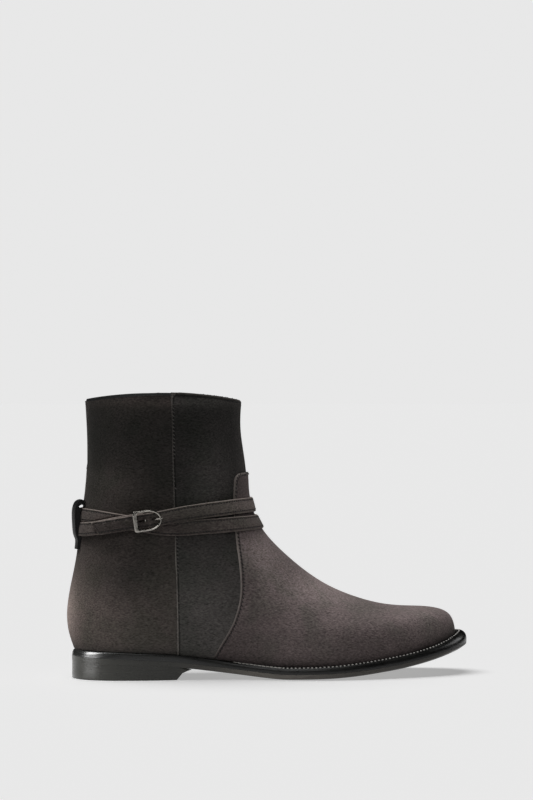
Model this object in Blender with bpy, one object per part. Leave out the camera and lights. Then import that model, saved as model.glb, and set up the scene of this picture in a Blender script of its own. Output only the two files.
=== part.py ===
"""Ankle boot for the right foot, in suede, with a strap that goes twice round the ankle to a small buckle.

The boot is modelled as its maker's pieces: sole, heel, insole, upper, vamp, strap, back loop and buckle.
Tables are in millimetres and the meshes in metres. +X points to the toe, -Y to the outer side of the foot
and +Z up, and the boot stands on z = 0. Places on the upper are given as two numbers: around, an angle
that is 0 at the back seam and goes by the outer side to 180 degrees at the front, and up, from 0 at the
feather line, where the upper meets the sole, to 1 at the collar.
"""

import math

import bmesh
import bpy
import numpy as np

MM = 0.001
GAP = 0.3
MERGE = 1e-7
SMOOTH_ANGLE = math.radians(35)
NUDGE = 0.004
SEARCH_STEPS = 30

# Upper: wall, lapped panels and how finely it is divided
WALL = 2.0
PANEL_STEP = 0.5
VAMP_INSIDE = PANEL_STEP + GAP
VAMP_OUTSIDE = 1.7
BACK_COLUMNS = 8
MIDDLE_COLUMNS = 4
FRONT_COLUMNS = 10
LOW_LEVELS = np.linspace(0.0, 0.64, 17)
LEVELS = np.concatenate((LOW_LEVELS, np.linspace(0.72, 1.0, 5)))

# Sections of the last, one closed loop a row, from the feather line to the collar. Half widths are at one,
# three, five and seven eighths of the loop's length, and the radii are those of its two ends in plan.
LOOP_COLUMNS = (
    "up", "back_x", "back_z", "front_x", "front_z",
    "heel_half", "waist_half", "ball_half", "toe_half", "back_radius", "front_radius",
)
LOOP_ROWS = (
    (0.00, -129.0, 20.0, 129.0, 26.5, 27.5, 22.5, 41.0, 31.0, 24.0, 20.0),
    (0.08, -132.6, 31.0, 126.2, 38.4, 30.0, 26.0, 43.0, 32.0, 26.0, 20.0),
    (0.14, -133.6, 39.5, 116.6, 43.2, 30.5, 28.5, 42.5, 32.0, 27.0, 21.0),
    (0.22, -133.2, 48.5, 84.8, 44.5, 30.5, 30.5, 39.5, 31.5, 27.0, 22.0),
    (0.30, -131.6, 59.0, 57.4, 51.4, 30.0, 32.0, 37.0, 29.0, 26.0, 22.0),
    (0.38, -129.5, 69.0, 32.6, 62.9, 29.0, 33.0, 35.5, 26.5, 25.0, 22.0),
    (0.46, -127.4, 80.0, 7.8, 82.8, 28.0, 33.0, 34.5, 24.5, 24.0, 22.0),
    (0.54, -125.8, 93.0, -6.5, 99.3, 27.0, 33.0, 33.5, 24.0, 24.0, 22.0),
    (0.62, -124.0, 106.0, -13.2, 116.6, 26.0, 33.0, 33.0, 24.0, 24.0, 23.0),
    (0.72, -121.0, 128.0, -14.5, 136.9, 26.0, 34.0, 34.0, 25.0, 25.0, 24.0),
    (0.86, -120.0, 155.0, -18.5, 163.0, 25.5, 35.0, 35.0, 25.5, 26.0, 26.0),
    (1.00, -121.5, 183.8, -17.8, 182.3, 25.5, 37.0, 37.0, 25.5, 27.0, 27.0),
)
LOOPS = dict(zip(LOOP_COLUMNS, np.array(LOOP_ROWS).T))
HALF_WIDTH_SHARES = (0.0, 0.125, 0.375, 0.625, 0.875, 1.0)

# Curve of the last's centre line in plan: place along the foot, and shift to the inner side. It fades out
# going up, the feather line's curve fades out sooner, and the collar's rise at its sides fades in late.
SWING_X = (-130.0, -96.0, -32.0, 33.0, 98.0, 130.0)
SWING_Y = (0.0, 0.0, -4.5, -2.5, 3.0, 8.0)
SWING_FADE = 1.5
FEATHER_FADE = 2
COLLAR_RISE = 4.8
COLLAR_FADE = 4

# Seams in the side view: the side seam is straight, and the vamp's edge is x over z
SIDE_SEAM_FOOT = (-63.3, 16.4)
SIDE_SEAM_TOP = (-68.9, 187.2)
VAMP_EDGE_Z = (10.0, 21.2, 31.7, 44.7, 55.7, 65.5, 78.5, 96.0, 114.3, 129.5)
VAMP_EDGE_X = (-41.5, -36.2, -30.4, -25.7, -23.3, -22.8, -23.8, -25.2, -26.4, -26.0)
TAB_CORNER_RADIUS = 5.5
TAB_CORNER_STEPS = 4

# Sole: profile of the tread, thicknesses and how far each layer stands out past the feather line
FLAT_FROM = 5.0
FLAT_TO = 27.0
WAIST_SLOPE = 0.129
WAIST_SOFTENING = 3.0
HEEL_SEAT = (-61.0, 8.6)
HEEL_SEAT_SLOPE = 0.047
TOE_SPRING = 20.0
TOE_SPRING_RUN = 109.0
OUTSOLE_THICK = 3.2
WELT_THICK_X = (-130.0, -40.0, 60.0, 130.0)
WELT_THICK = (4.3, 4.4, 4.5, 4.7)
EDGE_SHARES = (0.0, 0.15, 0.30, 0.45, 0.65, 0.85, 1.0)
EDGE_MARGINS = (1.0, 1.2, 1.8, 3.0, 4.4, 5.0, 7.2)
OUTSOLE_INSET = 0.3
EDGE_BEVEL = 0.8
INSOLE_INSET = 4.0
INSOLE_THICK = 2.5
SOLE_STATIONS = 40

# Heel: the breast leans forward as it rises and is hollowed across
TOP_LIFT_THICK = 4.7
HEEL_TAPER = 0.3
HEEL_SIDE_POINTS = 31
BREAST_Z = (0.0, 3.0, 5.5, 8.0)
BREAST_X = (-64.0, -62.0, -59.0, -54.0)
BREAST_HOLLOW = 5.0
BREAST_POINTS = 7
STACK_SHARES = (0.0, 0.4, 0.75, 1.0)

# Strap: turn is in degrees from the back seam by the inner side, z is the middle of its width, and lift is
# its clearance over the shaft, which grows where it crosses itself under the buckle. The slant of its free
# tip is in degrees of turn too.
STRAP_WIDTH = 9.0
STRAP_THICK = 1.7
STRAP_CHAMFER = 0.35
STRAP_STEP = 7.5
STRAP_NUDGE = 0.5
STRAP_TIP_SLANT = 7.0
ROUTE_COLUMNS = ("turn", "z")
ROUTE_ROWS = (
    (-71.0, 105.2), (-56.0, 103.2), (-40.0, 100.2), (-26.0, 98.4), (0.0, 98.1), (45.0, 98.5), (90.0, 99.6),
    (135.0, 100.8), (180.0, 101.3), (222.0, 101.3), (245.0, 100.3), (269.0, 99.3), (285.0, 101.0),
    (303.0, 104.0), (334.0, 107.2), (348.0, 107.5), (360.0, 107.5), (405.0, 108.1), (450.0, 109.6),
    (495.0, 112.2), (540.0, 113.3), (575.0, 113.2), (592.0, 112.4), (620.0, 109.4), (637.0, 106.4),
    (656.0, 103.6), (680.0, 99.4), (687.0, 98.4),
)
LIFT_COLUMNS = ("turn", "lift")
LIFT_ROWS = (
    (-71.0, 2.4), (-24.0, 2.4), (-9.0, 0.4), (84.0, 0.4), (91.0, 0.9), (116.0, 0.9), (130.0, 2.4),
    (230.0, 2.4), (244.0, 0.9), (266.0, 0.9), (276.0, 0.4), (444.0, 0.4), (451.0, 0.9), (476.0, 0.9),
    (490.0, 2.4), (590.0, 2.4), (604.0, 0.9), (620.0, 0.95), (634.0, 2.7), (645.0, 4.4), (687.0, 4.4),
)
ROUTE = dict(zip(ROUTE_COLUMNS, np.array(ROUTE_ROWS).T))
LIFTS = dict(zip(LIFT_COLUMNS, np.array(LIFT_ROWS).T))

# Back loop: height of each fold and its clearance over the shaft, outside and inside
LOOP_WIDTH = 14.0
LOOP_ACROSS = 5
LOOP_OUTSIDE = (
    (117.0, 0.35), (117.4, 2.2), (117.0, 4.0), (115.6, 5.6), (113.4, 6.5), (109.5, 6.8), (104.2, 5.95),
    (97.6, 4.65), (93.8, 3.6), (91.8, 2.2), (90.0, 1.55), (85.0, 1.55),
)
LOOP_INSIDE = (
    (114.0, 0.35), (114.3, 1.8), (114.0, 3.0), (113.2, 4.0), (111.8, 4.6), (109.0, 4.9), (104.2, 4.4),
    (97.6, 3.3), (93.8, 2.4), (92.0, 1.0), (90.5, 0.35), (85.0, 0.35),
)

# Buckle: laid on the strap's last stretch, u along it towards the back, v across it and w off its middle
# plane. The prong's bends are u from its hole and w below where it rests on the frame.
BUCKLE_TURN = 646.5
BUCKLE_STRETCH = 20.0
BUCKLE_SAMPLES = 81
BUCKLE_HALF_LENGTH = 9.2
BUCKLE_HALF_HEIGHT = 6.9
BUCKLE_WIRE = 1.3
BUCKLE_KEEPER = 2.8
BUCKLE_THICK = 1.3
BUCKLE_CHAMFER = 0.35
BUCKLE_ARC_FROM = -1.0
BUCKLE_ARC_POINTS = 9
BAR_U = 1.0
BAR_RADIUS = 0.6
PRONG_RADIUS = 0.5
PRONG_HOLE_U = -4.4
PRONG_FOOT_U = 1.4
PRONG_BENDS = ((-0.6, 0.9), (-2.0, 0.0))
PRONG_SLOT = (3.4, 2.0)
PRONG_SLOT_SPARE = 0.9
SPARE_HOLE_U = 3.1
SPARE_HOLE_RADIUS = 0.8
SPARE_HOLE_SIDES = 10

# Finishes: colour, roughness, metallic
FINISHES = {
    "suede": ((0.085, 0.078, 0.074), 0.95, 0.0),
    "suede_vamp": ((0.105, 0.094, 0.090), 0.95, 0.0),
    "suede_strap": ((0.075, 0.068, 0.064), 0.95, 0.0),
    "black_leather": ((0.012, 0.012, 0.012), 0.45, 0.0),
    "sole_edge": ((0.045, 0.038, 0.034), 0.45, 0.0),
    "polished_edge": ((0.010, 0.010, 0.010), 0.25, 0.0),
    "heel_rubber": ((0.020, 0.020, 0.020), 0.55, 0.0),
    "insole_leather": ((0.060, 0.055, 0.052), 0.70, 0.0),
    "polished_steel": ((0.62, 0.60, 0.57), 0.22, 1.0),
}


def fair(knots, values, at, steady=False):
    """Smooth curve through knots and values. The values may differ for each place.

    Its slopes at the knots are those of parabolas or, on a steady curve, such that it never overshoots.
    """
    knots = np.asarray(knots, float)
    values = np.asarray(values, float)
    at = np.clip(np.atleast_1d(np.asarray(at, float)), knots[0], knots[-1])
    if values.ndim == 1:
        values = np.repeat(values[:, None], len(at), axis=1)
    step = np.diff(knots)[:, None]
    rise = np.diff(values, axis=0) / step
    if steady:
        turns = rise[:-1] * rise[1:] <= 0
        before = np.where(turns, 1.0, rise[:-1])
        after = np.where(turns, 1.0, rise[1:])
        middle = np.where(turns, 0.0, 2 * before * after / (before + after))
    else:
        middle = (rise[:-1] * step[1:] + rise[1:] * step[:-1]) / (step[:-1] + step[1:])
    slope = np.vstack((rise[:1], middle, rise[-1:]))
    cell = np.clip(np.searchsorted(knots, at, side="right") - 1, 0, len(knots) - 2)
    place = np.arange(len(at))
    width = step[cell, 0]
    part = (at - knots[cell]) / width
    start = values[cell, place]
    end = values[cell + 1, place]
    start_slope = slope[cell, place] * width
    end_slope = slope[cell + 1, place] * width
    return (
        start * (2 * part**3 - 3 * part**2 + 1)
        + end * (3 * part**2 - 2 * part**3)
        + start_slope * (part**3 - 2 * part**2 + part)
        + end_slope * (part**3 - part**2)
    )


def unit(vectors):
    return vectors / np.linalg.norm(vectors, axis=-1, keepdims=True)


def tread_z(x):
    """Height of the tread: heel seat, waist, the flat spot under the ball and the toe spring."""
    behind = np.maximum(FLAT_FROM - x, 0.0)
    waist = WAIST_SLOPE * (behind - WAIST_SOFTENING * (1 - np.exp(-behind / WAIST_SOFTENING)))
    seat = HEEL_SEAT[1] + HEEL_SEAT_SLOPE * (HEEL_SEAT[0] - x)
    ahead = np.maximum(x - FLAT_TO, 0.0)
    return np.minimum(waist, seat) + TOE_SPRING * (ahead / TOE_SPRING_RUN) ** 2


def outsole_top_z(x):
    return tread_z(x) + OUTSOLE_THICK


def welt_bottom_z(x):
    return outsole_top_z(x) + GAP


def welt_top_z(x):
    return welt_bottom_z(x) + np.interp(x, WELT_THICK_X, WELT_THICK)


def feather_z(x):
    return welt_top_z(x) + GAP


def insole_top_z(x):
    return feather_z(x) + INSOLE_THICK


def loop_value(name, up):
    return fair(LOOPS["up"], LOOPS[name], up)


def last_point(around, up):
    """Points of the last's surface."""
    around, up = np.broadcast_arrays(np.atleast_1d(around), np.atleast_1d(up))
    share = (1 - np.cos(around)) / 2
    back_x = loop_value("back_x", up)
    length = loop_value("front_x", up) - back_x
    x = back_x + share * length
    z = loop_value("back_z", up) * (1 - share) + loop_value("front_z", up) * share
    foot_x = LOOPS["back_x"][0] * (1 - share) + LOOPS["front_x"][0] * share
    foot_z = LOOPS["back_z"][0] * (1 - share) + LOOPS["front_z"][0] * share
    z = z + (1 - up) ** FEATHER_FADE * (feather_z(foot_x) - foot_z)
    z = z + COLLAR_RISE * up**COLLAR_FADE * np.sin(around) ** 2
    widths = [np.sqrt(loop_value("back_radius", up) * length / 2)]
    for name, at in zip(("heel_half", "waist_half", "ball_half", "toe_half"), HALF_WIDTH_SHARES[1:-1]):
        widths.append(loop_value(name, up) / (2 * math.sqrt(at * (1 - at))))
    widths.append(np.sqrt(loop_value("front_radius", up) * length / 2))
    half = fair(HALF_WIDTH_SHARES, np.array(widths), share) * np.sin(around)
    swing = fair(SWING_X, SWING_Y, x) * (1 - up) ** SWING_FADE
    return np.column_stack((x, swing - half, z))


def last_normal(around, up):
    """Outward directions of the last's surface."""
    around, up = np.broadcast_arrays(np.atleast_1d(around), np.atleast_1d(up))
    ahead = last_point(around + NUDGE, up) - last_point(around - NUDGE, up)
    above = last_point(around, np.minimum(up + NUDGE, 1.0)) - last_point(around, np.maximum(up - NUDGE, 0.0))
    return unit(np.cross(ahead, above))


def skin(around, up, lift):
    """Points at a lift over the last. The lowest row is laid level with the feather line."""
    around, up = np.broadcast_arrays(np.atleast_1d(around), np.atleast_1d(up))
    points = last_point(around, up) + last_normal(around, up) * np.reshape(lift, (-1, 1))
    points[:, 2] = np.where(up == 0.0, feather_z(points[:, 0]), points[:, 2])
    return points


def angle_at(x, up):
    """Angle, on the outer side, where the loop at this level passes x."""
    back_x = loop_value("back_x", up)
    share = (x - back_x) / (loop_value("front_x", up) - back_x)
    return np.arccos(1 - 2 * np.clip(share, 0.0, 1.0))


def level_at(around, z):
    """Level at which the last reaches a height, at this angle."""
    low = np.zeros(len(around))
    high = np.ones(len(around))
    for _ in range(SEARCH_STEPS):
        middle = (low + high) / 2
        below = last_point(around, middle)[:, 2] < z
        low = np.where(below, middle, low)
        high = np.where(below, high, middle)
    return (low + high) / 2


def seam_angle(seam_x, up):
    """Angle, on the outer side, where the loop at this level crosses a seam given as x over z."""
    angle = np.full(1, math.pi / 2)
    for _ in range(SEARCH_STEPS):
        angle = angle_at(seam_x(last_point(angle, up)[:, 2]), up)
    return float(angle[0])


def side_seam_x(z):
    foot_x, foot_z = SIDE_SEAM_FOOT
    top_x, top_z = SIDE_SEAM_TOP
    return foot_x + (top_x - foot_x) * (z - foot_z) / (top_z - foot_z)


def vamp_edge_x(z):
    return fair(VAMP_EDGE_Z, VAMP_EDGE_X, z)


def finish(name):
    colour, roughness, metallic = FINISHES[name]
    made = bpy.data.materials.get(name)
    if made is None:
        made = bpy.data.materials.new(name)
        made.use_nodes = True
        shader = made.node_tree.nodes["Principled BSDF"]
        shader.inputs["Base Color"].default_value = (*colour, 1.0)
        shader.inputs["Roughness"].default_value = roughness
        shader.inputs["Metallic"].default_value = metallic
        made.diffuse_color = (*colour, 1.0)
    return made


def add_object(name, data, collection, look):
    made = bpy.data.objects.new(name, data)
    made.data.materials.append(finish(look))
    collection.objects.link(made)
    return made


def add_mesh(name, shape, collection, look):
    """Object from a closed bmesh, with its doubles merged and its faces pointing out."""
    bmesh.ops.remove_doubles(shape, verts=shape.verts, dist=MERGE)
    bmesh.ops.recalc_face_normals(shape, faces=shape.faces)
    mesh = bpy.data.meshes.new(name)
    shape.to_mesh(mesh)
    shape.free()
    mesh.shade_smooth()
    mesh.set_sharp_from_angle(angle=SMOOTH_ANGLE)
    return add_object(name, mesh, collection, look)


def add_row(shape, points):
    return [shape.verts.new(tuple(point * MM)) for point in points]


def bridge(shape, lower, upper, closed):
    """Faces between two rows of points."""
    count = len(lower) if closed else len(lower) - 1
    for here in range(count):
        there = (here + 1) % len(lower)
        shape.faces.new((lower[here], lower[there], upper[there], upper[here]))


def loft(name, rings, collection, look, joined=False):
    """Solid through closed rings of points, with its ends capped, or joined to each other."""
    shape = bmesh.new()
    rows = [add_row(shape, ring) for ring in rings]
    for lower, upper in zip(rows, rows[1:]):
        bridge(shape, lower, upper, True)
    if joined:
        bridge(shape, rows[-1], rows[0], True)
    else:
        shape.faces.new(rows[0][::-1])
        shape.faces.new(rows[-1])
    return add_mesh(name, shape, collection, look)


def shell(name, outside, inside, collection, look, closed=False):
    """Solid between two grids of points, with a rim along their open edges."""
    shape = bmesh.new()
    faces = []
    for grid in (outside, inside):
        rows = [add_row(shape, points) for points in grid]
        for lower, upper in zip(rows, rows[1:]):
            bridge(shape, lower, upper, closed)
        faces.append(rows)
    outer, inner = faces
    bridge(shape, outer[0], inner[0], closed)
    bridge(shape, outer[-1], inner[-1], closed)
    if not closed:
        for side in (0, -1):
            bridge(shape, [row[side] for row in outer], [row[side] for row in inner], False)
    return add_mesh(name, shape, collection, look)


def make_upper(collection):
    """Hollow upper. The front panel laps the back panel at the side seams as a step in the wall."""
    outside = []
    inside = []
    for up in LEVELS:
        side = seam_angle(side_seam_x, up)
        vamp = seam_angle(vamp_edge_x, up)
        back = np.linspace(0.0, side, BACK_COLUMNS + 1)
        middle = np.linspace(side, vamp, MIDDLE_COLUMNS + 1)
        front = np.linspace(vamp, math.pi, FRONT_COLUMNS + 1)[1:]
        half = np.concatenate((back, middle, front))
        step = np.where(np.arange(len(half)) < len(back), 0.0, PANEL_STEP)
        angles = np.concatenate((half, 2 * math.pi - half[-2:0:-1]))
        steps = np.concatenate((step, step[-2:0:-1]))
        outside.append(skin(angles, up, steps))
        inside.append(skin(angles, up, np.full(len(angles), -WALL)))
    return shell("upper", outside, inside, collection, "suede", closed=True)


def make_vamp(collection):
    """Vamp with its tongue tab, cut between two lifts over the last in front of the vamp's edge."""
    edges = [(up, seam_angle(vamp_edge_x, up)) for up in LOW_LEVELS]
    for step in range(TAB_CORNER_STEPS + 1):
        turn = math.radians(90) * step / TAB_CORNER_STEPS
        x = VAMP_EDGE_X[-1] + TAB_CORNER_RADIUS * (1 - math.cos(turn))
        z = VAMP_EDGE_Z[-1] + TAB_CORNER_RADIUS * math.sin(turn)
        up = tab_level(x, z)
        edges.append((up, float(angle_at(x, up)[0])))
    outside = []
    inside = []
    for up, edge in edges:
        half = np.linspace(edge, math.pi, FRONT_COLUMNS + 1)
        angles = np.concatenate((half, 2 * math.pi - half[-2::-1]))
        outside.append(skin(angles, up, np.full(len(angles), VAMP_OUTSIDE)))
        inside.append(skin(angles, up, np.full(len(angles), VAMP_INSIDE)))
    return shell("vamp", outside, inside, collection, "suede_vamp")


def tab_level(x, z):
    """Level of the loop that passes this point of the side view."""
    low = 0.0
    high = 1.0
    for _ in range(SEARCH_STEPS):
        up = (low + high) / 2
        if last_point(angle_at(x, up), up)[0, 2] < z:
            low = up
        else:
            high = up
    return up


def outline(around, margin):
    """Plan points of the feather line, moved outwards by a margin."""
    here = last_point(around, 0.0)[:, :2]
    along = unit(last_point(around + NUDGE, 0.0)[:, :2] - last_point(around - NUDGE, 0.0)[:, :2])
    return here + np.column_stack((along[:, 1], -along[:, 0])) * np.reshape(margin, (-1, 1))


def edge_margin(around):
    return fair(EDGE_SHARES, EDGE_MARGINS, (1 - np.cos(around)) / 2)


def plank(name, margin, bottom_z, top_z, collection, look):
    """Layer of the sole between two height profiles, lofted from the heel to the toe, with broken edges."""
    half = (np.arange(SOLE_STATIONS) + 0.5) * math.pi / SOLE_STATIONS
    columns = (
        (EDGE_BEVEL, bottom_z, 0.0),
        (0.0, bottom_z, EDGE_BEVEL),
        (0.0, top_z, -EDGE_BEVEL),
        (EDGE_BEVEL, top_z, 0.0),
    )
    sides = []
    for around in (half, 2 * math.pi - half):
        side = []
        for pull, height, shift in columns:
            plan = outline(around, margin(around) - pull)
            side.append(np.column_stack((plan, height(plan[:, 0]) + shift)))
        sides.append(side)
    outer, inner = sides
    rings = np.stack(outer + inner[::-1], axis=1)
    return loft(name, rings, collection, look)


def outsole_margin(around):
    return edge_margin(around) - OUTSOLE_INSET


def insole_margin(around):
    return np.full(len(around), -INSOLE_INSET)


def heel_ring(level_z, height):
    """Ring of the heel: round the back along the sole's edge, then across the hollowed breast."""
    breast_x = float(np.interp(level_z, BREAST_Z, BREAST_X))
    reach = angle_at(breast_x, 0.0)[0]
    angles = np.linspace(reach, -reach, HEEL_SIDE_POINTS)
    taper = HEEL_TAPER * (1 - level_z / HEEL_SEAT[1])
    sides = outline(angles, outsole_margin(angles) - taper)
    across = np.linspace(1.0, -1.0, BREAST_POINTS + 2)[1:-1]
    middle = (sides[0] + sides[-1]) / 2
    reach_y = (sides[-1] - sides[0])[1] / 2
    breast = np.column_stack((middle[0] - BREAST_HOLLOW * (1 - across**2), middle[1] + across * reach_y))
    plan = np.vstack((sides, breast))
    return np.column_stack((plan, height(plan[:, 0])))


def make_heel(collection):
    """Top lift and stack. Their joint is level, and the stack's top follows the sole."""
    joint = TOP_LIFT_THICK
    lift_rings = [heel_ring(z, lambda x, z=z: np.full(len(x), z)) for z in (0.0, joint - GAP / 2)]
    loft("heel_top_lift", lift_rings, collection, "heel_rubber")
    stack_rings = []
    for part in STACK_SHARES:
        level = joint + part * (BREAST_Z[-1] - joint)

        def height(x, part=part):
            low = joint + GAP / 2
            return low + part * (tread_z(x) - GAP - low)

        stack_rings.append(heel_ring(level, height))
    loft("heel_stack", stack_rings, collection, "polished_edge")


def strap_middle(turn, height):
    """Points at a height over the strap's middle plane, along its route."""
    around = np.radians(-turn)
    up = level_at(around, fair(ROUTE["turn"], ROUTE["z"], turn, steady=True))
    lift = fair(LIFTS["turn"], LIFTS["lift"], turn, steady=True) + STRAP_THICK / 2 + height
    return last_point(around, up) + last_normal(around, up) * lift[:, None]


def strap_frame(turn):
    """Middle of the strap and its directions across, towards its upper edge, and outwards."""
    turn = np.atleast_1d(np.asarray(turn, float))
    here = strap_middle(turn, 0.0)
    along = unit(strap_middle(turn + STRAP_NUDGE, 0.0) - strap_middle(turn - STRAP_NUDGE, 0.0))
    outward = strap_middle(turn, 1.0) - here
    across = unit(np.cross(along, outward))
    return here, across, np.cross(across, along)


def strap_places():
    """Points of the strap's section, across and off its middle, with broken corners."""
    half_width = STRAP_WIDTH / 2
    half_thick = STRAP_THICK / 2
    corner = STRAP_CHAMFER
    quarter = ((half_width, half_thick - corner), (half_width - corner, half_thick))
    places = list(quarter)
    places += [(-across, height) for across, height in quarter[::-1]]
    places += [(-across, -height) for across, height in quarter]
    places += [(across, -height) for across, height in quarter[::-1]]
    return np.array(places)


def make_strap(collection):
    """Strap, lofted along its whole route. Its free tip is cut at a slant, with the upper edge longer."""
    first = ROUTE["turn"][0]
    last = ROUTE["turn"][-1]
    turns = np.linspace(first, last, round((last - first) / STRAP_STEP) + 1)
    places = strap_places()
    slant = STRAP_TIP_SLANT * places[:, 0] / STRAP_WIDTH
    ring_turns = np.repeat(turns[:, None], len(places), axis=1)
    ring_turns[-1] += slant - STRAP_TIP_SLANT / 2
    middle, up, out = strap_frame(ring_turns.ravel())
    across = np.tile(places[:, 0], len(turns))[:, None]
    height = np.tile(places[:, 1], len(turns))[:, None]
    rings = (middle + up * across + out * height).reshape(len(turns), len(places), 3)
    return loft("wrap_strap", rings, collection, "suede_strap")


def on_buckle(points):
    """Points given along, across and off the strap at the buckle, as points of the boot."""
    points = np.asarray(points, float)
    turns = BUCKLE_TURN + np.linspace(-BUCKLE_STRETCH, BUCKLE_STRETCH, BUCKLE_SAMPLES)
    path = strap_middle(turns, 0.0)
    run = np.concatenate(([0.0], np.cumsum(np.linalg.norm(np.diff(path, axis=0), axis=1))))
    start = np.interp(BUCKLE_TURN, turns, run)
    middle, up, out = strap_frame(np.interp(start + points[:, 0], run, turns))
    return middle + up * points[:, 1:2] + out * points[:, 2:3]


def buckle_outline(back, front, half_height):
    """Outline of the buckle in its own plane: a straight bar at the back and a round front."""
    arc = np.linspace(math.radians(90), math.radians(-90), BUCKLE_ARC_POINTS)
    round_u = BUCKLE_ARC_FROM - (BUCKLE_ARC_FROM + front) * np.cos(arc)
    side_u = (back + BUCKLE_ARC_FROM) / 2
    bar_u = (side_u, back, back, back, side_u)
    bar_v = (-half_height, -half_height, 0.0, half_height, half_height)
    return np.vstack((np.column_stack((round_u, half_height * np.sin(arc))), np.column_stack((bar_u, bar_v))))


def make_buckle_frame(collection):
    length = BUCKLE_HALF_LENGTH
    height = BUCKLE_HALF_HEIGHT
    outer = buckle_outline(length, length, height)
    inner = buckle_outline(length - BUCKLE_KEEPER, length - BUCKLE_WIRE, height - BUCKLE_WIRE)
    low = STRAP_THICK / 2 + GAP
    high = low + BUCKLE_THICK
    corner = BUCKLE_CHAMFER
    inward = unit(inner - outer) * corner
    columns = (
        (outer, low),
        (outer, high - corner),
        (outer + inward, high),
        (inner - inward, high),
        (inner, high - corner),
        (inner, low),
    )
    places = [np.column_stack((plan, np.full(len(plan), off))) for plan, off in columns]
    rings = on_buckle(np.stack(places, axis=1).reshape(-1, 3)).reshape(len(outer), len(columns), 3)
    return loft("buckle_frame", rings, collection, "polished_steel", joined=True)


def wire(name, points, radius, collection):
    """Round wire through points of the boot."""
    curve = bpy.data.curves.new(name, "CURVE")
    curve.dimensions = "3D"
    curve.bevel_depth = radius * MM
    curve.bevel_resolution = 1
    curve.use_fill_caps = True
    spline = curve.splines.new("POLY")
    spline.points.add(len(points) - 1)
    for place, point in zip(spline.points, points):
        place.co = (*(point * MM), 1.0)
    return add_object(name, curve, collection, "polished_steel")


def make_buckle_wires(collection):
    """Centre bar under the strap, with its two legs up to the frame, and the prong up through the strap."""
    strap_top = STRAP_THICK / 2
    bar_w = -(strap_top + GAP + BAR_RADIUS)
    leg_v = BUCKLE_HALF_HEIGHT - BUCKLE_WIRE / 2
    leg_w = strap_top
    bar_vw = ((-leg_v, leg_w), (-leg_v, bar_w), (leg_v, bar_w), (leg_v, leg_w))
    wire("buckle_bar", on_buckle([(BAR_U, v, w) for v, w in bar_vw]), BAR_RADIUS, collection)
    frame_top = strap_top + GAP + BUCKLE_THICK
    rest_w = frame_top + GAP + PRONG_RADIUS
    prong_start = BAR_U - BAR_RADIUS - GAP
    front = -BUCKLE_HALF_LENGTH
    prong_uw = [(prong_start, bar_w), (PRONG_HOLE_U + PRONG_FOOT_U, bar_w)]
    prong_uw += [(PRONG_HOLE_U + along, rest_w - below) for along, below in PRONG_BENDS]
    prong_uw += [(front - PRONG_RADIUS, rest_w)]
    wire("buckle_prong", on_buckle([(u, 0.0, w) for u, w in prong_uw]), PRONG_RADIUS, collection)


def cut(target, shape, name, collection):
    """Cuts a shape, given in the buckle's own places, out of a piece."""
    places = on_buckle([tuple(vert.co) for vert in shape.verts])
    for vert, place in zip(shape.verts, places):
        vert.co = place * MM
    cutter = add_mesh(name, shape, collection, "suede_strap")
    cutter.hide_render = True
    cutter.display_type = "WIRE"
    made = target.modifiers.new(name, "BOOLEAN")
    made.operation = "DIFFERENCE"
    made.solver = "EXACT"
    made.object = cutter


def cut_holes(strap, collection):
    """Slot that the prong comes up through, and the spare hole behind it."""
    depth = STRAP_THICK + GAP
    slot = bmesh.new()
    bmesh.ops.create_cube(slot, size=1.0)
    bmesh.ops.scale(slot, verts=slot.verts, vec=(*PRONG_SLOT, depth + PRONG_SLOT_SPARE))
    bmesh.ops.translate(slot, verts=slot.verts, vec=(PRONG_HOLE_U, 0.0, 0.0))
    cut(strap, slot, "prong_slot", collection)
    hole = bmesh.new()
    bmesh.ops.create_cone(
        hole,
        cap_ends=True,
        segments=SPARE_HOLE_SIDES,
        radius1=SPARE_HOLE_RADIUS,
        radius2=SPARE_HOLE_RADIUS,
        depth=depth,
    )
    bmesh.ops.translate(hole, verts=hole.verts, vec=(SPARE_HOLE_U, 0.0, 0.0))
    cut(strap, hole, "spare_hole", collection)


def make_back_loop(collection):
    """Keeper loop: sewn flat at its two ends and bowed out over both turns of the strap."""
    across = np.linspace(-LOOP_WIDTH / 2, LOOP_WIDTH / 2, LOOP_ACROSS)
    sides = []
    for folds in (LOOP_OUTSIDE, LOOP_INSIDE):
        side = []
        for z, lift in folds:
            up = level_at(np.zeros(1), z)
            length = loop_value("front_x", up) - loop_value("back_x", up)
            around = np.arcsin(across / np.sqrt(loop_value("back_radius", up) * length / 2))
            side.append(skin(around, level_at(around, z), np.full(LOOP_ACROSS, lift)))
        sides.append(side)
    outside, inside = sides
    return shell("back_loop", outside, inside, collection, "black_leather")


def stand_on_origin(pieces):
    """Carries the pieces by an empty that puts the middle of the boot's box over the origin."""
    corners = []
    bpy.context.view_layer.update()
    for piece in pieces:
        corners += [tuple(corner) for corner in piece.bound_box]
    corners = np.array(corners)
    middle = (corners.min(axis=0) + corners.max(axis=0)) / 2
    stand = bpy.data.objects.new("boot_stand", None)
    stand.location = (-middle[0], -middle[1], 0.0)
    bpy.context.scene.collection.objects.link(stand)
    for piece in pieces:
        piece.parent = stand


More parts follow.
